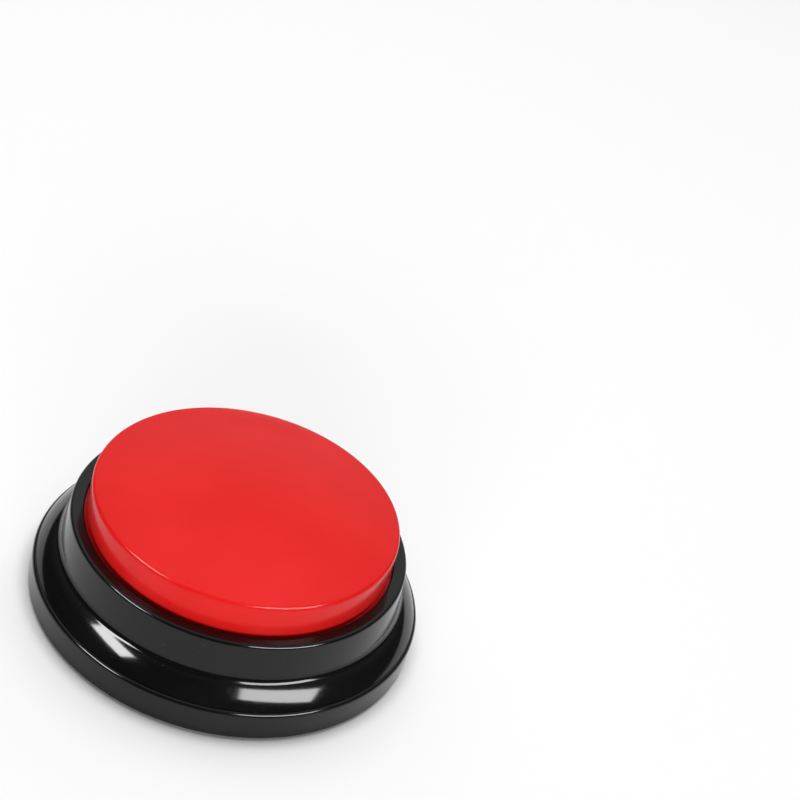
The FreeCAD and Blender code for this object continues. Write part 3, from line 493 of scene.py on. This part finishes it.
def corner_arc(before: Points, corner: Points, after: Points, radius: float, steps: int = 10) -> Points:
    """Fillet of a corner: the arc of the given radius that touches both of its sides.

    The touching points lie at radius times tan(half the turn) from the corner, and the arc is
    swept by turning the first touching point about the arc's centre.

    Args:
        before: point before the corner.
        corner: the corner.
        after: point after the corner.
        radius: radius of the fillet.
        steps: number of equal steps.

    Returns:
        An array of (r, z) points from the first side to the second.
    """
    back = (before - corner) / np.linalg.norm(before - corner)
    forth = (after - corner) / np.linalg.norm(after - corner)
    turn = math.pi - math.acos(float(np.clip(back @ forth, -1, 1)))
    start = corner + back * radius * math.tan(turn / 2)
    middle = (back + forth) / np.linalg.norm(back + forth)
    centre = corner + middle * radius / math.cos(turn / 2)
    side = math.copysign(1.0, back[1] * forth[0] - back[0] * forth[1])
    angles = np.linspace(0.0, side * turn, steps + 1)
    spoke = start - centre
    turned_r = spoke[0] * np.cos(angles) - spoke[1] * np.sin(angles)
    turned_z = spoke[0] * np.sin(angles) + spoke[1] * np.cos(angles)
    return centre + np.column_stack((turned_r, turned_z))


def with_fillets(corners: Sequence[tuple[float, float]], radii: Sequence[float],
                 closed: bool = True) -> Points:
    """Outline with a fillet at each corner whose radius isn't zero.

    Args:
        corners: corner points (r, z) in order.
        radii: fillet radius at each corner.
        closed: whether the last corner joins the first; if not, the two end corners stay sharp.

    Returns:
        The outline's points.
    """
    points = np.array(corners, float)
    pieces = []
    for index, radius in enumerate(radii):
        at_end = not closed and index in (0, len(points) - 1)
        if radius == 0 or at_end:
            pieces.append(points[index:index + 1])
            continue
        before = points[index - 1]
        after = points[(index + 1) % len(points)]
        pieces.append(corner_arc(before, points[index], after, radius))
    return np.concatenate(pieces)


def held(outline: Points, closed: bool, margin: float = 0.05 * MM, shortest: float = 0.8 * MM) -> Points:
    """Outline with a point close to each end of its long straight stretches.

    They keep the shading of a flat face from bleeding out of the fillets beside it.

    Args:
        outline: (r, z) points.
        closed: whether the last point joins the first.
        margin: distance of the added points from the ends.
        shortest: length under which a stretch is left alone.

    Returns:
        The outline with the points put in.
    """
    following = np.roll(outline, -1, axis=0)
    steps = following - outline
    lengths = np.linalg.norm(steps, axis=1)
    if not closed:
        lengths[-1] = 0
    long = np.flatnonzero(lengths > shortest)
    unit = steps[long] / lengths[long, None]
    near = outline[long] + unit * margin
    far = following[long] - unit * margin
    places = np.repeat(long + 1, 2)
    added = np.stack((near, far), axis=1).reshape(-1, 2)
    return np.insert(outline, places, added, axis=0)


@dataclass
class Surface:
    """Vertices and faces of a mesh that is still being put together."""

    vertices: Points = field(default_factory=lambda: np.zeros((0, 3)))
    faces: list[Points] = field(default_factory=list)

    def add(self, vertices: Points, *groups: Points) -> "Surface":
        """Adds a separate closed shell.

        Args:
            vertices: its (x, y, z) points.
            groups: its faces, one array for each number of corners.

        Returns:
            This surface, so that calls can be chained.
        """
        start = len(self.vertices)
        self.vertices = np.concatenate((self.vertices, vertices))
        self.faces.extend(group + start for group in groups)
        return self

    def turn(self, outline: Points, segments: int = SHELL_STEPS, centre: tuple[float, float] = (0, 0),
             closed: bool = True) -> "Surface":
        """Adds a surface of revolution about an upright axis.

        Point (i, j) is the outline's point i carried to the angle j: its x and y are r cos and
        r sin of the angle, and its z stays. An open outline starts and ends on the axis, where
        its two end points become single poles.

        Args:
            outline: (r, z) points in order.
            segments: number of steps round the axis.
            centre: place (x, y) of the axis.
            closed: whether the outline joins up; if not, its ends lie on the axis.

        Returns:
            This surface.
        """
        outline = held(outline, closed)
        following = np.roll(outline, -1, axis=0)
        area = np.sum(outline[:, 0] * following[:, 1] - following[:, 0] * outline[:, 1])
        if area < 0:
            outline = outline[::-1]
        rings = outline if closed else outline[1:-1]
        angles = np.arange(segments) * (2 * math.pi / segments)
        x = centre[0] + rings[:, :1] * np.cos(angles)
        y = centre[1] + rings[:, :1] * np.sin(angles)
        z = np.repeat(rings[:, 1:], segments, axis=1)
        vertices = np.stack((x, y, z), axis=-1).reshape(-1, 3)
        grid = np.arange(len(rings) * segments).reshape(len(rings), segments)
        beside = np.roll(grid, -1, axis=1)
        lower, upper = (grid, np.roll(grid, -1, axis=0)) if closed else (grid[:-1], grid[1:])
        lower_beside, upper_beside = (
            (beside, np.roll(beside, -1, axis=0)) if closed else (beside[:-1], beside[1:]))
        quads = np.stack((lower, lower_beside, upper_beside, upper), axis=-1).reshape(-1, 4)
        if closed:
            return self.add(vertices, quads)
        count = len(vertices)
        poles = np.array([[centre[0], centre[1], outline[0, 1]], [centre[0], centre[1], outline[-1, 1]]])
        first = np.stack((np.full(segments, count), beside[0], grid[0]), axis=-1)
        last = np.stack((np.full(segments, count + 1), grid[-1], beside[-1]), axis=-1)
        return self.add(np.concatenate((vertices, poles)), quads, first, last)

    def mesh(self, name: str) -> bpy.types.Mesh:
        """Makes the Blender mesh, smooth with sharp edges where it turns by more than an angle.

        Args:
            name: name of the mesh.

        Returns:
            The mesh.
        """
        mesh = bpy.data.meshes.new(name)
        faces = [face for group in self.faces for face in group.tolist()]
        mesh.from_pydata(self.vertices.tolist(), [], faces)
        mesh.update()
        shade(mesh)
        return mesh


def shade(mesh: bpy.types.Mesh) -> None:
    """Shades a merged mesh smoothly, with sharp edges where it turns more than SMOOTH_ANGLE."""
    mesh.polygons.foreach_set("use_smooth", np.ones(len(mesh.polygons), bool))
    mesh.set_sharp_from_angle(angle=SMOOTH_ANGLE)


def rod(low: float, high: float, radius: float, edge: float) -> Points:
    """Half outline of a round bar with rounded ends, from its bottom pole to its top pole."""
    corners = [(0, low), (radius, low), (radius, high), (0, high)]
    return with_fillets(corners, [0, edge, edge, 0], closed=False)


def ring_outline(low: float, high: float, inner: float, outer: float, edge: float) -> Points:
    """Closed outline of a round sleeve with rounded rims."""
    corners = [(inner, low), (outer, low), (outer, high), (inner, high)]
    return with_fillets(corners, [edge] * 4)


# ---------------------------------------------------------------------------------------------
# Pieces
# ---------------------------------------------------------------------------------------------


def place_piece(name: str, mesh: bpy.types.Mesh, material: bpy.types.Material, body: Body,
                nodes: Sequence[str]) -> bpy.types.Object:
    """Puts a finished piece on its body in the frame.

    Args:
        name: name of the piece.
        mesh: its mesh, already in place.
        material: its material.
        body: the body that it rides on.
        nodes: CAD nodes that it stands for.

    Returns:
        The piece.
    """
    mesh.materials.clear()
    mesh.materials.append(material)
    piece = bpy.data.objects.new(name, mesh)
    bpy.context.scene.collection.objects.link(piece)
    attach(piece, body.value)
    if nodes:
        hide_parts(*nodes)
    log.info("%s: %d vertices on %s", name, len(mesh.vertices), body.value)
    return piece


def merged_copy(node: str) -> bpy.types.Mesh:
    """Copy of a CAD node's mesh with its loose triangles joined.

    Args:
        node: name of the node.

    Returns:
        The copy, smoothly shaded.
    """
    mesh = frame["nodes"][node].data.copy()
    mesh.name = f"{node}_copy"
    work = bmesh.new()
    work.from_mesh(mesh)
    bmesh.ops.remove_doubles(work, verts=work.verts, dist=MERGE_DISTANCE)
    work.to_mesh(mesh)
    work.free()
    if mesh.attributes.get("custom_normal"):
        mesh.attributes.remove(mesh.attributes["custom_normal"])
    shade(mesh)
    return mesh


def carry(node: str, material: bpy.types.Material, body: Body) -> bpy.types.Object:
    """Carries a CAD node over as a merged, smoothly shaded piece."""
    return place_piece(f"{node}_finished", merged_copy(node), material, body, [node])


@dataclass
class ButtonCap:
    """Large domed push button with its skirt, flange, plunger and guide pins."""

    wall: float = 2.0 * MM
    corner: float = 1.2 * MM
    crown: float = 110.0 * MM
    step: float = 0.7 * MM
    step_sink: float = 0.1 * MM
    flange_width: float = 1.2 * MM
    flange_thickness: float = 1.5 * MM
    lip_edge: float = 0.2 * MM
    plunger_radius: float = 2.6 * MM
    plunger_gap: float = 2.3 * MM
    pin_radius: float = 1.5 * MM
    pin_reach: float = 7.15 * MM
    pin_circle: float = 27.0 * MM
    pin_angles: tuple[int, ...] = (30, 150, 270)
    seat_thickness: float = 1.5 * MM
    seat_edge: float = 0.7 * MM
    seat_gap: float = 0.02 * MM
    finish: Moulded = Moulded("cap_red", (0.72, 0.010, 0.010), (0.76, 0.014, 0.013), 0.18,
                              rub=0.03, peel=0.8e-6, dust=0.10, specular=0.17)

    def shell(self) -> Points:
        """Closed outline of the shell.

        The outside runs up the neck, round the rounded step to the side, round a corner arc that
        touches both the side and the crown, and over the crown to the axis. The inside is the
        same without the step, a wall's thickness in.

        Returns:
            The outline's points.
        """
        low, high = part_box("button_cap")
        flange = high.x
        side = flange - self.flange_width
        centre_z = high.z - self.crown
        outside = self.half_shell(side, self.corner, self.crown, centre_z)
        inner_corner = self.corner - self.wall / 2
        inside = self.half_shell(side - self.wall, inner_corner, self.crown - self.wall, centre_z)
        flange_top = low.z + self.flange_thickness
        neck = side - self.step
        step_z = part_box("upper_housing")[1].z - self.step_sink
        step = arc_points((neck, step_z + self.step), self.step, 0, -math.pi / 2, 12)
        foot = with_fillets(
            [(neck, high.z), (neck, flange_top), (flange, flange_top), (flange, low.z),
             (side - self.wall, low.z), (side - self.wall, high.z)],
            [0, self.lip_edge, self.lip_edge, self.lip_edge, self.lip_edge, 0], closed=False)[1:-1]
        return np.concatenate((outside[::-1], step, foot, inside))

    @staticmethod
    def half_shell(side: float, corner: float, crown: float, centre_z: float) -> Points:
        """Outline from the top of the side to the apex: corner arc, then crown arc.

        The corner's centre lies on the circle about the crown's centre whose radius is the
        crown's less the corner's, so that the two arcs touch.

        Args:
            side: radius of the upright side.
            corner: radius of the corner's arc.
            crown: radius of the crown's arc.
            centre_z: height of the crown's centre, which lies on the axis.

        Returns:
            The outline's points.
        """
        corner_r = side - corner
        corner_z = centre_z + math.sqrt((crown - corner) ** 2 - corner_r ** 2)
        meet = math.atan2(corner_z - centre_z, corner_r)
        edge = arc_points((corner_r, corner_z), corner, 0, meet, 24)
        dome = arc_points((0, centre_z), crown, meet, math.pi / 2, 48)
        return np.concatenate((edge, dome[1:]))

    def build(self) -> bpy.types.Object:
        """Builds the cap, which rides on the button.

        The outline's two apex points are set exactly on the axis first.

        Returns:
            The cap's piece.
        """
        outline = self.shell()
        outline[[0, -1], 0] = 0.0
        surface = Surface().turn(outline, closed=False)
        self.add_posts(surface)
        mesh = surface.mesh("button_cap_dome")
        return place_piece("button_cap_dome", mesh, self.finish.make(), Body.BUTTON,
                           ["button_cap"])

    def add_posts(self, surface: Surface) -> None:
        """Adds the plunger and the guide pins with their spring seats.

        Each post rises into the middle of the crown's wall. At a distance r from the axis the
        crown has sunk by its radius less the root of its radius squared less r squared.

        Args:
            surface: the cap's surface, which gets the posts.
        """
        plunger_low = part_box("switch_stem")[1].z + self.plunger_gap
        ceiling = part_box("button_cap")[1].z - self.wall / 2
        plunger = rod(plunger_low, ceiling, self.plunger_radius, self.lip_edge)
        surface.turn(plunger, POST_STEPS, closed=False)
        spring_low, spring_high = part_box("return_spring_1")
        seat_low = spring_high.z + self.seat_gap
        seat_radius = (spring_high.x - spring_low.x) / 2 + self.seat_edge
        seat = rod(seat_low, seat_low + self.seat_thickness, seat_radius, self.lip_edge)
        sag = self.crown - math.sqrt(self.crown ** 2 - self.pin_circle ** 2)
        pin = rod(seat_low - self.pin_reach, ceiling - sag, self.pin_radius, self.lip_edge)
        for degrees in self.pin_angles:
            angle = math.radians(degrees)
            centre = (self.pin_circle * math.cos(angle), self.pin_circle * math.sin(angle))
            surface.turn(pin, POST_STEPS, centre, closed=False)
            surface.turn(seat, POST_STEPS, centre, closed=False)


@dataclass
class UpperHousing:
    """Collar, cove and convex shoulder of the stand, with an inward lip over the button."""

    wall: float = 2.0 * MM
    lip: float = 1.6 * MM
    bore: float = 35.7 * MM
    bore_edge: float = 0.35 * MM
    rim: float = 38.8 * MM
    rim_edge: float = 0.9 * MM
    rim_slope: float = 0.25 * MM
    collar_foot: float = 39.6 * MM
    collar_height: float = 9.1 * MM
    shoulder_height: float = 4.9 * MM
    shoulder_radius: float = 16.0 * MM
    cove_start: float = 0.62 * MM
    tongue_wall: float = 1.6 * MM
    tongue_gap: float = 0.2 * MM
    boss_radius: float = 2.82 * MM
    boss_bore: float = 1.32 * MM
    boss_skin: float = 0.4 * MM
    boss_rise: float = 1.5 * MM
    boss_angles: tuple[int, ...] = (0, 90, 180, 270)
    edge: float = 0.2 * MM
    finish: Moulded = Moulded("housing_black", (0.0042, 0.0042, 0.0045), (0.0060, 0.0060, 0.0065), 0.10,
                              rub=0.07, peel=0.8e-6, dust=0.16, specular=0.30)

    def shoulder(self) -> tuple[tuple[float, float], float, float]:
        """Centre of the shoulder's arc and the heights of its two ends.

        The centre lies off the middle of the chord between the ends, on its inner side, at the
        distance that leaves both ends one radius away.

        Returns:
            The centre (r, z), the height of the lower end and the height of the upper end.
        """
        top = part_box("upper_housing")[1]
        cove_z = top.z - self.collar_height
        bottom_z = cove_z - self.shoulder_height
        outer = np.array((top.x, bottom_z))
        upper = np.array((self.collar_foot, cove_z))
        chord = upper - outer
        length = np.linalg.norm(chord)
        reach = math.sqrt(self.shoulder_radius ** 2 - (length / 2) ** 2)
        middle = (outer + upper) / 2
        centre = (middle[0] - reach * chord[1] / length, middle[1] + reach * chord[0] / length)
        return centre, bottom_z, cove_z

    def shoulder_arc(self, radius: float, low: float, high: float, steps: int) -> Points:
        """Arc of the shoulder at one radius between two heights.

        Args:
            radius: radius of the arc.
            low: height of its first point.
            high: height of its last point.
            steps: number of equal steps.

        Returns:
            The arc's points.
        """
        centre = self.shoulder()[0]
        start = math.asin((low - centre[1]) / radius)
        end = math.asin((high - centre[1]) / radius)
        return arc_points(centre, radius, start, end, steps)

    def outline(self) -> Points:
        """Closed outline of the shell, from the tongue up the outside and down the inside.

        The cove is an arc that touches the shoulder's arc a little below their crossing and the
        drafted collar above it.

        Returns:
            The outline's points.
        """
        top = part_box("upper_housing")[1].z
        centre, bottom_z, cove_z = self.shoulder()
        rim = np.array((self.rim, top))
        start_z = cove_z - self.cove_start
        outside = self.shoulder_arc(self.shoulder_radius, bottom_z, start_z, 24)
        last = outside[-1]
        tangent = np.array((-(last[1] - centre[1]), last[0] - centre[0])) / self.shoulder_radius
        foot = np.array((self.collar_foot, cove_z))
        up = (rim - foot) / np.linalg.norm(rim - foot)
        across = np.column_stack((tangent, -up))
        run = np.linalg.solve(across, foot - last)[0]
        corner = last + tangent * run
        turn = math.acos(float(np.clip(tangent @ up, -1, 1)))
        cove = corner_arc(last, corner, rim, run / math.tan(turn / 2), 12)
        lip_low = top - self.lip
        inner = self.rim - self.wall
        inner_radius = self.shoulder_radius - self.wall
        join_z = centre[1] + math.sqrt(inner_radius ** 2 - (inner - centre[0]) ** 2)
        head = with_fillets(
            [tuple(cove[-1]), tuple(rim), (self.bore, top - self.rim_slope), (self.bore, lip_low),
             (inner, lip_low), (inner, join_z)],
            [0, self.rim_edge, self.bore_edge, self.edge, self.edge, 0], closed=False)[1:-1]
        inside = self.shoulder_arc(inner_radius, bottom_z, join_z, 16)[::-1]
        band_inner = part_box("base_tray")[1].x - self.wall
        tongue_outer = band_inner - self.tongue_gap
        tongue_inner = tongue_outer - self.tongue_wall
        tongue_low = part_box("upper_housing")[0].z
        tail = with_fillets(
            [tuple(inside[-1]), (tongue_inner, bottom_z), (tongue_inner, tongue_low),
             (tongue_outer, tongue_low), (tongue_outer, bottom_z), tuple(outside[0])],
            [0, 0, self.edge, self.edge, 0, 0], closed=False)[1:-1]
        return np.concatenate((outside[:-1], cove, head, inside, tail))

    def build(self) -> bpy.types.Object:
        """Builds the housing with its four screw bosses, which rides on the stand.

        Returns:
            The housing's piece.
        """
        surface = Surface().turn(self.outline())
        cove_z = self.shoulder()[2]
        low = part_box("upper_housing")[0].z
        reach = self.rim - self.boss_skin - self.boss_radius
        boss = ring_outline(low, cove_z + self.boss_rise, self.boss_bore, self.boss_radius, self.edge)
        for degrees in self.boss_angles:
            angle = math.radians(degrees)
            surface.turn(boss, POST_STEPS, (reach * math.cos(angle), reach * math.sin(angle)))
        mesh = surface.mesh("collar_and_shoulder")
        return place_piece("collar_and_shoulder", mesh, self.finish.make(), Body.STAND,
                           ["upper_housing"])


@dataclass
class BaseTray:
    """Tray of the stand: a turned band round the outside and the floor, bay and pillars within."""

    housing: UpperHousing
    wall: float = 2.0 * MM
    reveal: float = 0.2 * MM
    reveal_depth: float = 0.7 * MM
    band_step: float = 0.8 * MM
    band_edge: float = 1.0 * MM
    foot_edge: float = 0.5 * MM
    split: float = 43.35 * MM
    overshoot: float = 5.0 * MM

    def band(self) -> Points:
        """Closed outline of the band, from the split in the floor round to the seat's inner edge.

        Returns:
            The outline's points.
        """
        low, high = self.low_z(), self.top_z()
        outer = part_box("base_tray")[1].x
        seat_outer = outer - self.band_step - self.reveal_depth
        seat_top = high + self.reveal
        return with_fillets(
            [(self.split, low), (outer, low), (outer, high), (seat_outer, high), (seat_outer, seat_top),
             (self.split, seat_top)],
            [0, self.foot_edge, self.band_edge, 0, 0, 0])

    def low_z(self) -> float:
        """Height of the underside of the floor."""
        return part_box("base_tray")[0].z

    def top_z(self) -> float:
        """Height of the top of the band, just under the housing's shoulder."""
        return self.housing.shoulder()[1] - self.reveal

    def core(self) -> bpy.types.Mesh:
        """The rest of the tray: the CAD node's own shape inside a drum that ends at the split.

        Returns:
            The mesh.
        """
        mesh = merged_copy("base_tray")
        whole = bpy.data.objects.new("tray_whole", mesh)
        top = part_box("base_tray")[1].z
        drum_outline = rod(self.low_z() - self.overshoot, top + self.overshoot, self.split, 0.0)
        drum_mesh = Surface().turn(drum_outline, closed=False).mesh("tray_drum")
        drum = bpy.data.objects.new("tray_drum", drum_mesh)
        for item in (whole, drum):
            bpy.context.scene.collection.objects.link(item)
        cut = whole.modifiers.new("split", "BOOLEAN")
        cut.operation = "INTERSECT"
        cut.solver = "EXACT"
        cut.object = drum
        evaluated = whole.evaluated_get(bpy.context.evaluated_depsgraph_get())
        result = bpy.data.meshes.new_from_object(evaluated)
        for item in (whole, drum):
            bpy.data.objects.remove(item)
        shade(result)
        return result

    def build(self) -> None:
        """Builds the band and the floor of the tray, which ride on the stand."""
        material = self.housing.finish.make()
        band = Surface().turn(self.band()).mesh("tray_band")
        place_piece("tray_band", band, material, Body.STAND, ["base_tray"])
        place_piece("tray_floor", self.core(), material, Body.STAND, ["base_tray"])


@dataclass
class RubberFeet:
    """Four round feet with softly rounded rims."""

    edge: float = 0.35 * MM
    finish: Rubber = Rubber("foot_rubber", (0.018, 0.018, 0.018), (0.06, 0.06, 0.058))

    def build(self) -> None:
        """Builds the feet, which ride on the stand."""
        material = self.finish.make()
        for number in range(1, 5):
            node = f"rubber_foot_{number}"
            low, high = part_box(node)
            centre = ((low.x + high.x) / 2, (low.y + high.y) / 2)
            outline = rod(low.z, high.z, (high.x - low.x) / 2, self.edge)
            mesh = Surface().turn(outline, POST_STEPS, centre, closed=False).mesh(f"foot_pad_{number}")
            place_piece(f"foot_pad_{number}", mesh, material, Body.STAND, [node])


@dataclass
class CarriedNodes:
    """CAD nodes whose shape is right, each with a finish of its own."""

    black: Moulded
    cell_band: float = 11.0 * MM

    def finishes(self) -> dict[str, Any]:
        """Finish of each material slot, and one more for the cell that lies the other way round.

        Returns:
            The finishes by name.
        """
        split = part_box("battery_1")[1].x - self.cell_band
        jacket, copper = (0.012, 0.014, 0.02), (0.62, 0.30, 0.14)
        speaker_low, speaker_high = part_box("speaker_frame")
        speaker_y = (speaker_low.y + speaker_high.y) / 2
        finishes = (
            self.black,
            PlatedMetal("screw_steel", (0.60, 0.60, 0.61), (0.38, 0.37, 0.35)),
            PlatedMetal("spring_steel", (0.62, 0.62, 0.63), (0.35, 0.33, 0.30), 0.22),
            PlatedMetal("nickel", (0.74, 0.71, 0.66), (0.52, 0.48, 0.40), 0.24),
            PlatedMetal("speaker_metal", (0.60, 0.60, 0.60), (0.42, 0.42, 0.42), 0.35, (1.0, 1.0, 1.0)),
            Moulded("inner_plastic", (0.62, 0.60, 0.55), (0.68, 0.66, 0.60), 0.42, grain=6e-6),
            Moulded("switch_black", (0.014, 0.014, 0.014), (0.02, 0.02, 0.02), 0.38, grain=6e-6),
            Moulded("component_black", (0.02, 0.02, 0.022), (0.03, 0.03, 0.03), 0.45, grain=5e-6),
            Moulded("chip_resin", (0.006, 0.006, 0.006), (0.010, 0.010, 0.010), 0.12, peel=6e-6,
                    peel_size=1.2 * MM),
            BoardLaminate("board_green"),
            CellJacket("cell_jacket", jacket, copper, 1, split),
            CellJacket("cell_jacket_turned", jacket, copper, -1, split),
            ConeFilm("speaker_film", (0.62, 0.60, 0.52), (0.72, 0.70, 0.62), speaker_y),
            Moulded("wire_red", (0.50, 0.012, 0.010), (0.56, 0.02, 0.015), 0.40),
            Moulded("wire_black", (0.014, 0.014, 0.014), (0.02, 0.02, 0.02), 0.42),
        )
        return {finish.name: finish for finish in finishes}

    def build(self, done: set[str]) -> None:
        """Carries over every node that no other piece stands for.

        Args:
            done: nodes that already have a piece.
        """
        made = {name: finish.make() for name, finish in self.finishes().items()}
        bodies = frame["record"]["behaviour"]["bodies"]
        body_of = {node: Body(name) for name, nodes in bodies.items() for node in nodes}
        for entry in frame["record"]["subparts"]:
            node, slot = entry["node"], entry["material_slot"]
            if node in done:
                continue
            key = "cell_jacket_turned" if node == "battery_2" else slot
            piece = carry(node, made[key], body_of[node])
            if slot == "spring_steel":
                self.compress(piece, node)

    @staticmethod
    def compress(spring: bpy.types.Object, node: str) -> None:
        """Works out the share of a return spring's length left at the button's full travel and gives the
        spring a mesh of its own; the spring itself is not shortened.

        Args:
            spring: the spring's piece.
            node: the spring's CAD node.
        """
        joints = frame["record"]["behaviour"]["joints"]
        travel = next(joint["range_m"][1] for joint in joints if joint["name"] == "button_press")
        low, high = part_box(node)
        keep = 1 - travel / (high.z - low.z)
        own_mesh(spring)


# ---------------------------------------------------------------------------------------------
# Studio
# ---------------------------------------------------------------------------------------------


class LightUse(Enum):
    """What a light adds to the surfaces: reflections in them, or even light on them."""

    SHINE = "shine"
    FILL = "fill"


@dataclass
class Studio:
    """Round pale floor, soft boxes, a surround and the camera."""

    floor_radius: float = 0.7
    floor_steps: int = 128
    floor_colour: tuple[float, float, float] = (0.92, 0.92, 0.92)
    front_glow: float = 0.02
    back_glow: float = 0.75
    glow_axis: tuple[float, float, float] = (0.0, 0.5, 0.866)
    glow_start: float = 0.35
    glow_end: float = 0.95
    backdrop: float = 0.9
    camera_distance: float = 0.470
    camera_elevation: float = 40.3
    camera_yaw: float = 3.4
    camera_pitch: float = 6.82
    camera_roll: float = 15.2
    focal: float = 90.0
    sensor: float = 36.0
    nearest: float = 0.01
    farthest: float = 50.0

    def floor(self) -> None:
        """Lays the floor, a flat disc level with the bottoms of the feet."""
        angles = np.arange(self.floor_steps) * (2 * math.pi / self.floor_steps)
        height = np.full(self.floor_steps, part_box("rubber_foot_1")[0].z)
        across, along = self.floor_radius * np.cos(angles), self.floor_radius * np.sin(angles)
        rim = np.stack((across, along, height), axis=-1)
        mesh = bpy.data.meshes.new("floor")
        mesh.from_pydata(rim.tolist(), [], [list(range(self.floor_steps))])
        g = Graph("floor_paper")
        g.surface(Base_Color=self.floor_colour, Roughness=0.9, Specular_IOR_Level=0.1)
        mesh.materials.append(g.material)
        floor = bpy.data.objects.new("floor", mesh)
        bpy.context.scene.collection.objects.link(floor)

    @staticmethod
    def soft_box(name: str, azimuth: float, elevation: float, distance: float, width: float, height: float,
                 power: float, use: LightUse, roll: float = 0.0) -> None:
        """Hangs a soft box that faces the object.

        Args:
            name: name of the light.
            azimuth: direction in degrees from +X towards +Y.
            elevation: degrees above the floor.
            distance: metres from the object.
            width: width in metres.
            height: height in metres.
            power: watts.
            use: what it adds to the surfaces.
            roll: degrees that it is turned in its own plane.
        """
        data = bpy.data.lights.new(name, "AREA")
        data.shape = "RECTANGLE"
        data.size = width
        data.size_y = height
        data.energy = power
        light = bpy.data.objects.new(name, data)
        a, e = math.radians(azimuth), math.radians(elevation)
        place = Vector((math.cos(e) * math.cos(a), math.cos(e) * math.sin(a), math.sin(e))) * distance
        facing = place.to_track_quat("Z", "Y").to_matrix().to_4x4()
        light.matrix_world = Matrix.Translation(place) @ facing @ Matrix.Rotation(math.radians(roll), 4, "Z")
        light.visible_glossy = use is LightUse.SHINE
        light.visible_diffuse = use is LightUse.FILL
        bpy.context.scene.collection.objects.link(light)

    def lights(self) -> None:
        """Hangs the soft boxes: two that shine in the plastic and two that light it evenly."""
        self.soft_box("soft_box_left", -150, 41, 0.9, 0.36, 0.18, 6.2, roll=-6, use=LightUse.SHINE)
        self.soft_box("soft_box_right", -41, 37, 0.9, 0.60, 0.27, 10.6, roll=-26, use=LightUse.SHINE)
        self.soft_box("overhead", 90, 76, 1.3, 1.3, 1.0, 13.0, use=LightUse.FILL)
        self.soft_box("front_fill", -88, 11, 1.2, 1.0, 0.4, 9.5, use=LightUse.FILL)

    def surround(self) -> None:
        """Lights the scene from all round, dim in front and paler behind.

        The strength eases from its front to its back value with the dot product of the
        direction and the glow axis. The camera sees the backdrop's even strength instead.
        """
        world = bpy.data.worlds.new("surround")
        bpy.context.scene.world = world
        tree = Tree(world)
        direction = tree.node("ShaderNodeTexCoord").outputs["Generated"]
        inputs = {0: direction, 1: self.glow_axis}
        along = tree.node("ShaderNodeVectorMath", {"operation": "DOT_PRODUCT"}, inputs)
        share = Value(tree, along.outputs["Value"]).step(self.glow_start, self.glow_end)
        glow = self.front_glow + share * (self.back_glow - self.front_glow)
        seen = Value(tree, tree.node("ShaderNodeLightPath").outputs["Is Camera Ray"])
        strength = glow + seen * (self.backdrop - glow)
        inputs = {"Color": (1.0, 1.0, 1.0), "Strength": strength}
        background = tree.node("ShaderNodeBackground", {}, inputs)
        tree.node("ShaderNodeOutputWorld", {}, {"Surface": background.outputs[0]})

    def camera(self) -> None:
        """Sets the camera: aimed at the origin, then swung, tipped and rolled a little."""
        e = math.radians(self.camera_elevation)
        place = Vector((0, -self.camera_distance * math.cos(e), self.camera_distance * math.sin(e)))
        forward = -place.normalized()
        right = Vector((1, 0, 0))
        up = right.cross(forward)

        def swing(first: Vector, second: Vector, degrees: float) -> tuple[Vector, Vector]:
            """Turns two perpendicular directions in their own plane.

            Args:
                first: first direction.
                second: second direction.
                degrees: angle, from the first towards the second.

            Returns:
                The two turned directions.
            """
            angle = math.radians(degrees)
            c, s = math.cos(angle), math.sin(angle)
            return first * c + second * s, second * c - first * s

        forward, right = swing(forward, right, self.camera_yaw)
        forward, up = swing(forward, up, self.camera_pitch)
        right, up = swing(right, up, self.camera_roll)
        data = bpy.data.cameras.new("camera")
        data.lens = self.focal
        data.sensor_width = self.sensor
        data.clip_start = self.nearest
        data.clip_end = self.farthest
        camera = bpy.data.objects.new("camera", data)
        turn = Matrix((right, up, -forward)).transposed()
        camera.matrix_world = Matrix.Translation(place) @ turn.to_4x4()
        bpy.context.scene.collection.objects.link(camera)
        bpy.context.scene.camera = camera

    def build(self) -> None:
        """Builds the studio."""
        self.camera()
        self.floor()
        self.lights()
        self.surround()
        view = bpy.context.scene.view_settings
        view.view_transform = "Standard"
        view.look = "None"


def main() -> None:
    """Builds the studio and every piece in order, and notes the size of the result."""
    logging.basicConfig(level=logging.INFO, format="%(name)s: %(message)s")
    Studio().build()
    housing = UpperHousing()
    ButtonCap().build()
    housing.build()
    BaseTray(housing).build()
    RubberFeet().build()
    done = {"button_cap", "upper_housing", "base_tray"} | {f"rubber_foot_{n}" for n in range(1, 5)}
    CarriedNodes(housing.finish).build(done)


if __name__ == "__main__":
    main()
